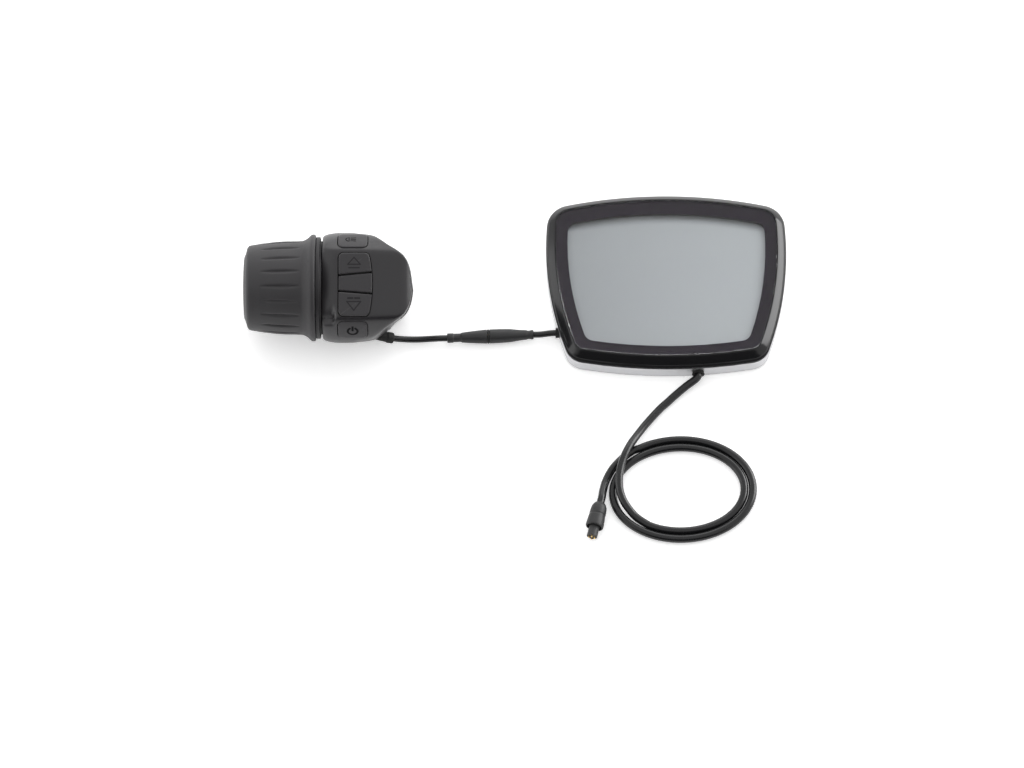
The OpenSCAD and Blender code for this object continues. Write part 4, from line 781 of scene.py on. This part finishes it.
def crowned(name, flat, base, top, ease, bend, body):
    """A key from its outline: straight sides, an eased rim and a crown made of shrinking rings."""
    cx, cy = [(min(p[i] for p in flat) + max(p[i] for p in flat)) / 2 for i in (0, 1)]
    half = [max(p[i] for p in flat) - c for i, c in ((0, cx), (1, cy))]
    rings = []
    for inset, height in ([(0, base), (0, top - ease)]
                          + [(ease * (1 - math.cos(math.radians(a))), top - ease + ease * math.sin(math.radians(a)))
                             for a in (20, 40, 60, 80, 90)]):
        k = [1 - inset / h for h in half]
        rings.append([bend(cx + (x - cx) * k[0], cy + (y - cy) * k[1], height) for x, y in flat])
    for share in (0.8, 0.55, 0.3, 0.08):
        k = [(1 - ease / h) * share for h in half]
        rings.append([bend(cx + (x - cx) * k[0], cy + (y - cy) * k[1], top) for x, y in flat])
    points, faces = skin(rings)
    obj = piece(name, points, faces, key_black, body, REMOTE, angle=40)
    return obj


def flat_bend(x, y, height):
    return (x, y, height)


def round_bend(turn):
    """Wraps a flat outline round the bar's axis at an angle, with its height as the radius."""
    def bend(x, y, height):
        a = math.radians(turn) + y / HOUSE_R
        return (x, height * math.sin(a), height * math.cos(a))
    return bend


UPPER_SEAM, LOWER_SEAM, SEAM_GAP = (3.9, 5.3), (-2.9, -4.1), 0.7
PAD_TOP, SIDE_TOP = 19.9, 24.6
pad = pad_outline(0)
key_flats = {
    "up_key": clip(pad, seam(*UPPER_SEAM, 1, SEAM_GAP / 2)),
    "middle_key": clip(clip(pad, seam(*UPPER_SEAM, -1, SEAM_GAP / 2)), seam(*LOWER_SEAM, 1, SEAM_GAP / 2)),
    "down_key": clip(pad, seam(*LOWER_SEAM, -1, SEAM_GAP / 2)),
}
for name, flat in key_flats.items():
    key = crowned(name + "_cap", rounded(flat, 0.7, 3, closed=True), 17.2, PAD_TOP, 0.55, flat_bend, name)
    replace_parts(key, name)
for name, turn in (("light_button", LIGHT_TURN), ("power_button", POWER_TURN)):
    key = crowned(name + "_cap", side_outline(0, 10), 21.4, SIDE_TOP, 0.5, round_bend(turn), name)
    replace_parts(key, name)
print("keys:", len(key_flats) + 2)

# %% [markdown]
# The marks are plain signs that any such remote has: an arrowhead and a dash for more and less, a lamp, and the
# common standby ring. They are thin strokes laid on the crowns, tone on tone: faint on the pad and darker on the
# flanks.

# %% Key marks
def stroke(line, width, closed=False):
    """Four-sided pieces along a line, as outlines."""
    pairs = list(zip(line, line[1:] + line[:1] if closed else line[1:]))
    made = []
    for (ax, ay), (bx, by) in pairs:
        length = math.hypot(bx - ax, by - ay)
        ux, uy = (bx - ax) / length * width / 2, (by - ay) / length * width / 2
        made.append([(ax - ux - uy, ay - uy + ux), (ax - ux + uy, ay - uy - ux), (bx + ux + uy, by + uy - ux),
                     (bx + ux - uy, by + uy + ux)])
    return made


# A mark stands a hair proud of its crown, and each stroke a little more than the last, so that none share a face.
MARK_LIFT, MARK_STEP, MARK_ROOT = 0.03, 0.002, 0.1


def mark(name, shapes, top, bend, body, finish=mark_black):
    points, faces = [], []
    for k, flat in enumerate(shapes):
        lift = top + MARK_LIFT + MARK_STEP * k
        start = len(points)
        more, sides = skin([[bend(x, y, h) for x, y in flat] for h in (top - MARK_ROOT, lift)])
        points += more
        faces += [tuple(i + start for i in face) for face in sides]
    obj = piece(name, points, faces, finish, body, REMOTE)
    return obj


def circle_line(cx, cy, r, start, end, steps):
    return [(cx + r * math.cos(math.radians(start + (end - start) * k / steps)),
             cy + r * math.sin(math.radians(start + (end - start) * k / steps))) for k in range(steps + 1)]


mark("up_mark", stroke([(45.7, 8.7), (51.1, 8.7), (48.4, 11.7)], 0.45, True)
     + stroke([(46.2, 7.2), (50.6, 7.2)], 0.5), PAD_TOP, flat_bend, "up_key", faint_mark)
mark("down_mark", stroke([(45.3, -7.5), (51.3, -7.5), (48.3, -11.3)], 0.5, True)
     + stroke([(45.9, -6), (47.7, -6)], 0.8) + stroke([(48.9, -6), (50.7, -6)], 0.8),
     PAD_TOP, flat_bend, "down_key", faint_mark)
lamp = stroke(circle_line(46.1, 0, 1.4, 90, 270, 10), 0.4) + stroke([(46.1, 1.4), (46.1, -1.4)], 0.4)
for y in (-1.1, 0, 1.1):
    lamp += stroke([(47, y), (48.9, y + 0.2 * y)], 0.4)
mark("light_mark", lamp, SIDE_TOP, round_bend(LIGHT_TURN), "light_button")
mark("power_mark", stroke(circle_line(47.7, 0, 2.1, 125, 415, 22), 0.85) + stroke([(47.7, 0.5), (47.7, 2.5)], 0.85),
     SIDE_TOP, round_bend(POWER_TURN), "power_button")
print("marks on the keys: 4")

# %% [markdown]
# ## Grip
# The grip is a rubber sleeve with a domed end, a barrel that widens towards the housing and a flared lip. Shallow
# grooves run along it, each fading out at both ends. Behind the lip is the hard ring of the tube that the rubber sits
# on.

# %% Grip
grip_line = [(0, 12.3), (0.1, 13.4), (0.4, 14.1), (0.8, 15.2), (1.1, 16.4), (1.4, 17.4), (1.8, 18.1), (2.4, 18.45),
             (3.1, 18.62), (4.2, 18.8), (5.8, 19.05), (7.5, 19.35), (10.2, 19.65), (12.8, 20), (15.4, 20.2),
             (18.1, 20.35), (23, 20.42), (25.4, 20.55), (26.8, 21.1), (28, 21.9), (28.8, 22.7), (29.5, 23.2),
             (30.1, 23.35), (30.9, 23.25), (31.2, 22.95), (31.4, 22.3)]
GROOVES, GROOVE_FROM, GROOVE_TO, GROOVE_DEPTH = 19, 7.6, 24.8, 0.75
GROOVE_TURN, GROOVE_R = math.radians(2.5), 20.2


def grip_radius(x, angle):
    """The grip's radius: its profile less the nearest groove, which narrows and fades at both ends."""
    radius = eased(grip_line, x)
    share = (x - GROOVE_FROM) / (GROOVE_TO - GROOVE_FROM)
    if 0 < share < 1:
        fade = math.sin(math.pi * share) ** 0.6
        step = 2 * math.pi / GROOVES
        off = ((angle + GROOVE_TURN + step / 2) % step - step / 2) * GROOVE_R
        radius -= GROOVE_DEPTH * fade * math.exp(-(off / (0.28 + 0.34 * fade)) ** 2)
    return radius


places = [0, 0.1, 0.25, 0.5, 0.9, 1.4, 2, 2.8, 3.8, 5] + [6 + 0.4 * k for k in range(50)] + [
    26, 26.5, 27, 27.4, 27.8, 28.2, 28.6, 29, 29.3, 29.6, 29.9, 30.2, 30.6, 30.9, 31.1, 31.25, 31.35, 31.4]
SIDES = GROOVES * 24
angles = [2 * math.pi * k / SIDES for k in range(SIDES)]
rings = [[(x, grip_radius(x, a) * math.sin(a), grip_radius(x, a) * math.cos(a)) for a in angles] for x in places]
inner = [(31.4, 21.4), (31.35, 13.2), (1.3, 13.2), (1.2, 13.1), (1.2, 11.7), (1.1, 11.6), (0.3, 11.6), (0.05, 11.75),
         (0, 11.9)]
rings += turned_rings(inner, SIDES)
points, faces = skin(rings, loop=True)
grip = piece("grip_rubber_sleeve", points, faces, grip_black, "twist_grip", REMOTE, angle=60)
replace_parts(grip, "grip_sleeve")
ring_black = material("ring_plastic", (0.018, 0.017, 0.019), 0.55, grain_scale=2000, grain_depth=0.15, edge=0.3,
                      ior=1.4)
tube_line = rounded([(1.2, 13.2), (31.62, 13.2), (31.62, 22.2), (33.33, 22.2), (33.33, 20.4), (34.13, 20.4),
                     (34.13, 14.5), (36.53, 14.5), (36.53, 15.4), (38.33, 15.4), (38.33, 12.5), (42.23, 12.5),
                     (42.23, 11.3), (1.2, 11.3)], 0.25, 3, closed=True)
tube = turned("twist_tube_ring", tube_line, ring_black, "twist_grip", REMOTE, 160, loop=True)
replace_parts(tube, "twist_tube")
print("grip faces", len(grip.data.polygons))

# %% [markdown]
# ## Glands, strain relief, connector and plug
# These are small turned mouldings. The strain relief widens from the housing to a collar at its end, the connector
# halves taper both ways from their joint, and the plug is a short shroud with rounded shoulders round a core with
# its contacts.

# %% Small turned pieces
def along_x(place, turn=0.0):
    return Matrix.Translation(place) @ Matrix.Rotation(turn, 4, "Z")


relief = turned("strain_relief_boot", rounded(
    [(-3, 1.5), (-3, 1.9), (0, 1.9), (0.05, 2.0), (3.5, 2.2), (3.9, 2.45), (6.3, 2.45), (6.8, 2.1), (6.8, 1.5)],
    0.25, 4), seal_black, place=OUTLET, sides=64, loop=True)
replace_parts(relief, "strain_relief")


def gland(name, bore, place):
    line = [(-3.2, bore), (-3.2, bore + 0.65), (0.85, bore + 0.65), (0.9, bore + 0.95), (1.2, bore + 0.9),
            (1.2, bore)]
    return turned(name, rounded(line, 0.12, 3), seal_black, place=place, sides=64, loop=True)


wall_x, wall_y = -47.73, -42.58
left_gland = gland("remote_lead_gland", 1.5, along_x((wall_x, -23.09, 3.7), math.pi))
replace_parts(left_gland, "remote_cable_gland")
low_gland = gland("main_lead_gland", 1.85, along_x((13.4, wall_y, 3.7), -math.pi / 2))
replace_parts(low_gland, "main_cable_gland")

left_line = [(0, 1.45), (0, 2.1), (2.6, 2.1), (2.8, 1.89), (6.0, 1.89), (6.35, 2.2), (9.15, 2.49),
             (13.2, 2.83), (17.55, 3.12), (17.55, 1.2)]
right_line = [(18.65, 1.2), (18.65, 3.12), (22.85, 3.09), (27.5, 2.93), (32.1, 2.33), (34.8, 2.14), (35.4, 1.89),
              (36.55, 1.89), (36.75, 2.1), (37.9, 2.1), (37.9, 1.45)]
joint_place = along_x(JOINT_AT, JOINT_TURN)
left_half = turned("connector_left_half", rounded(left_line, 0.3, 3), plastic_black, place=joint_place, sides=72)
right_half = turned("connector_right_half", rounded(right_line, 0.3, 3), plastic_black, place=joint_place, sides=72)
ring_line = [(17.6, 1.2), (17.6, 3.0), (18.1, 3.15), (18.6, 3.0), (18.6, 1.2)]
seal_ring = turned("connector_seal_ring", rounded(ring_line, 0.2, 3), seal_black, place=joint_place, sides=72)
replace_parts(left_half, "connector_plug")
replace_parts(right_half, "connector_socket")
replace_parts(seal_ring, "connector_ring")

PLUG_TURN = math.radians(-13)
plug_place = along_x(PLUG_AT, -math.pi / 2 + PLUG_TURN)
shroud_line = rounded([(0, 1.8), (0, 2.45), (1.6, 3.28), (3.2, 3.51), (5.2, 3.58), (5.4, 3.45), (6.0, 3.45),
                       (6.2, 3.62), (9.9, 3.88), (11.1, 3.9), (11.5, 3.7), (11.5, 3.2), (7.5, 3.1), (7.5, 2.3),
                       (3.6, 2.3), (3.6, 1.8)], 0.22, 3)
shroud = turned("plug_shroud", shroud_line, plastic_black, place=plug_place, sides=72, loop=True)
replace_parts(shroud, "main_plug_body")
print("small turned pieces built")

# %% [markdown]
# ## The pieces carried over from the frame
# Everything else is shown as the frame has it, with smooth normals and a finish of its own or its slot's. Most of
# these lie inside: boards, chips, switches, springs and screws.

# %% Carried-over nodes
slots = {row["node"]: row["material_slot"] for row in frame["record"]["subparts"]}
FINISH_OF_NODE = {"border_sheet": border_black, "lcd_panel": panel_grey, "back_shell": shell_silver,
                  "key_board": plastic_black, "side_boards": plastic_black}
for name, node in frame["nodes"].items():
    if node.hide_render:
        continue
    node.data.materials.clear()
    node.data.materials.append(FINISH_OF_NODE.get(name) or SLOT_FINISH[slots[name]])
    shade(node, 30)
print("shown nodes of the frame:", sum(not n.hide_render for n in frame["nodes"].values()))

# %% [markdown]
# Each free cord is declared with where it leaves its piece, its length and thickness, and what hangs on it.

# %% The leads' facts
length_of(main_line[LINE_STEPS:]) * MM
length_of(remote_line) * MM

# %% [markdown]
# ## Table and light
# The object lies on a pale table in an even white surround, so its shadows are faint. Low in front, behind the
# camera, the surround is dark: the front edge of the frame shows that as a black band. A broad soft light stands low
# behind. A soft light on each side only shows in what mirrors it, such as the sloping sides of the frame.

# %% Table
TABLE_HALF, TABLE_Z, TABLE_GLOW = 4, -0.05 * MM, 0.42
table_paint = material("table_paint", (0.97, 0.97, 0.97), 0.9, grain_scale=400, grain_depth=0.02, film_scale=3,
                       shift=0.01, edge=0.0, dust=0.0)
mesh = bpy.data.meshes.new("table")
mesh.from_pydata([(x * TABLE_HALF, y * TABLE_HALF, TABLE_Z) for x, y in ((-1, -1), (1, -1), (1, 1), (-1, 1))], [],
                 [(0, 1, 2, 3)])
mesh.materials.append(table_paint)
table_shader = table_paint.node_tree.nodes["Principled BSDF"]
table_shader.inputs["Emission Color"].default_value = (1, 1, 1, 1)
tree = table_paint.node_tree
rays = tree.nodes.new("ShaderNodeLightPath")
direct = maths(tree, "MAXIMUM", rays.outputs["Is Camera Ray"], rays.outputs["Is Glossy Ray"])
direct = maths(tree, "MAXIMUM", direct, rays.outputs["Is Transmission Ray"])
link(tree, maths(tree, "MULTIPLY", direct, TABLE_GLOW), table_shader.inputs["Emission Strength"])
table_top = bpy.data.objects.new("table", mesh)
bpy.context.scene.collection.objects.link(table_top)
print("table", 2 * TABLE_HALF, "m wide")

# %% Surround
SURROUND, FRONT, FRONT_FROM, FRONT_SLOPE = 1.02, 0.06, 0.55, 8
world = bpy.data.worlds.new("surround")
bpy.context.scene.world = world
world.use_nodes = True
tree = world.node_tree
back = tree.nodes["Background"]
back.inputs["Color"].default_value = (1, 1, 1, 1)
way = tree.nodes.new("ShaderNodeSeparateXYZ")
link(tree, tree.nodes.new("ShaderNodeTexCoord").outputs["Generated"], way.inputs[0])
towards_front = maths(tree, "MULTIPLY", way.outputs["Y"], -1)
front_share = maths(tree, "MULTIPLY", maths(tree, "SUBTRACT", towards_front, FRONT_FROM), FRONT_SLOPE, clamp=True)
link(tree, maths(tree, "SUBTRACT", SURROUND, maths(tree, "MULTIPLY", front_share, SURROUND - FRONT)),
     back.inputs["Strength"])
seen = tree.nodes.new("ShaderNodeBackground")
seen.inputs["Color"].default_value = (1, 1, 1, 1)
mix_by_ray(tree, "Is Camera Ray", back, seen, "World Output")
print("surround", SURROUND, "and", FRONT, "in front")

# %% Lights
def soft_light(name, place, aim, size, power):
    data = bpy.data.lights.new(name, "AREA")
    data.shape = "RECTANGLE"
    data.size, data.size_y = size
    data.energy = power
    lamp_obj = bpy.data.objects.new(name, data)
    bpy.context.scene.collection.objects.link(lamp_obj)
    lamp_obj.location = place
    lamp_obj.rotation_mode = "QUATERNION"
    lamp_obj.rotation_quaternion = (Vector(aim) - Vector(place)).to_track_quat("-Z", "Y")
    return lamp_obj


soft_light("soft_light_behind", (0.3, 1.5, 0.9), (-0.06, -0.04, 0), (2.6, 1.2), 14)
for shine in (soft_light("soft_light_right", (1.25, 0.6, 0.5), (0.05, 0, 0), (1.0, 1.0), 20),
              soft_light("soft_light_left", (-1.3, 0, 0.4), (0, 0, 0), (1.5, 0.8), 5)):
    shine.visible_diffuse = False
print("lights:", len(bpy.data.lights))
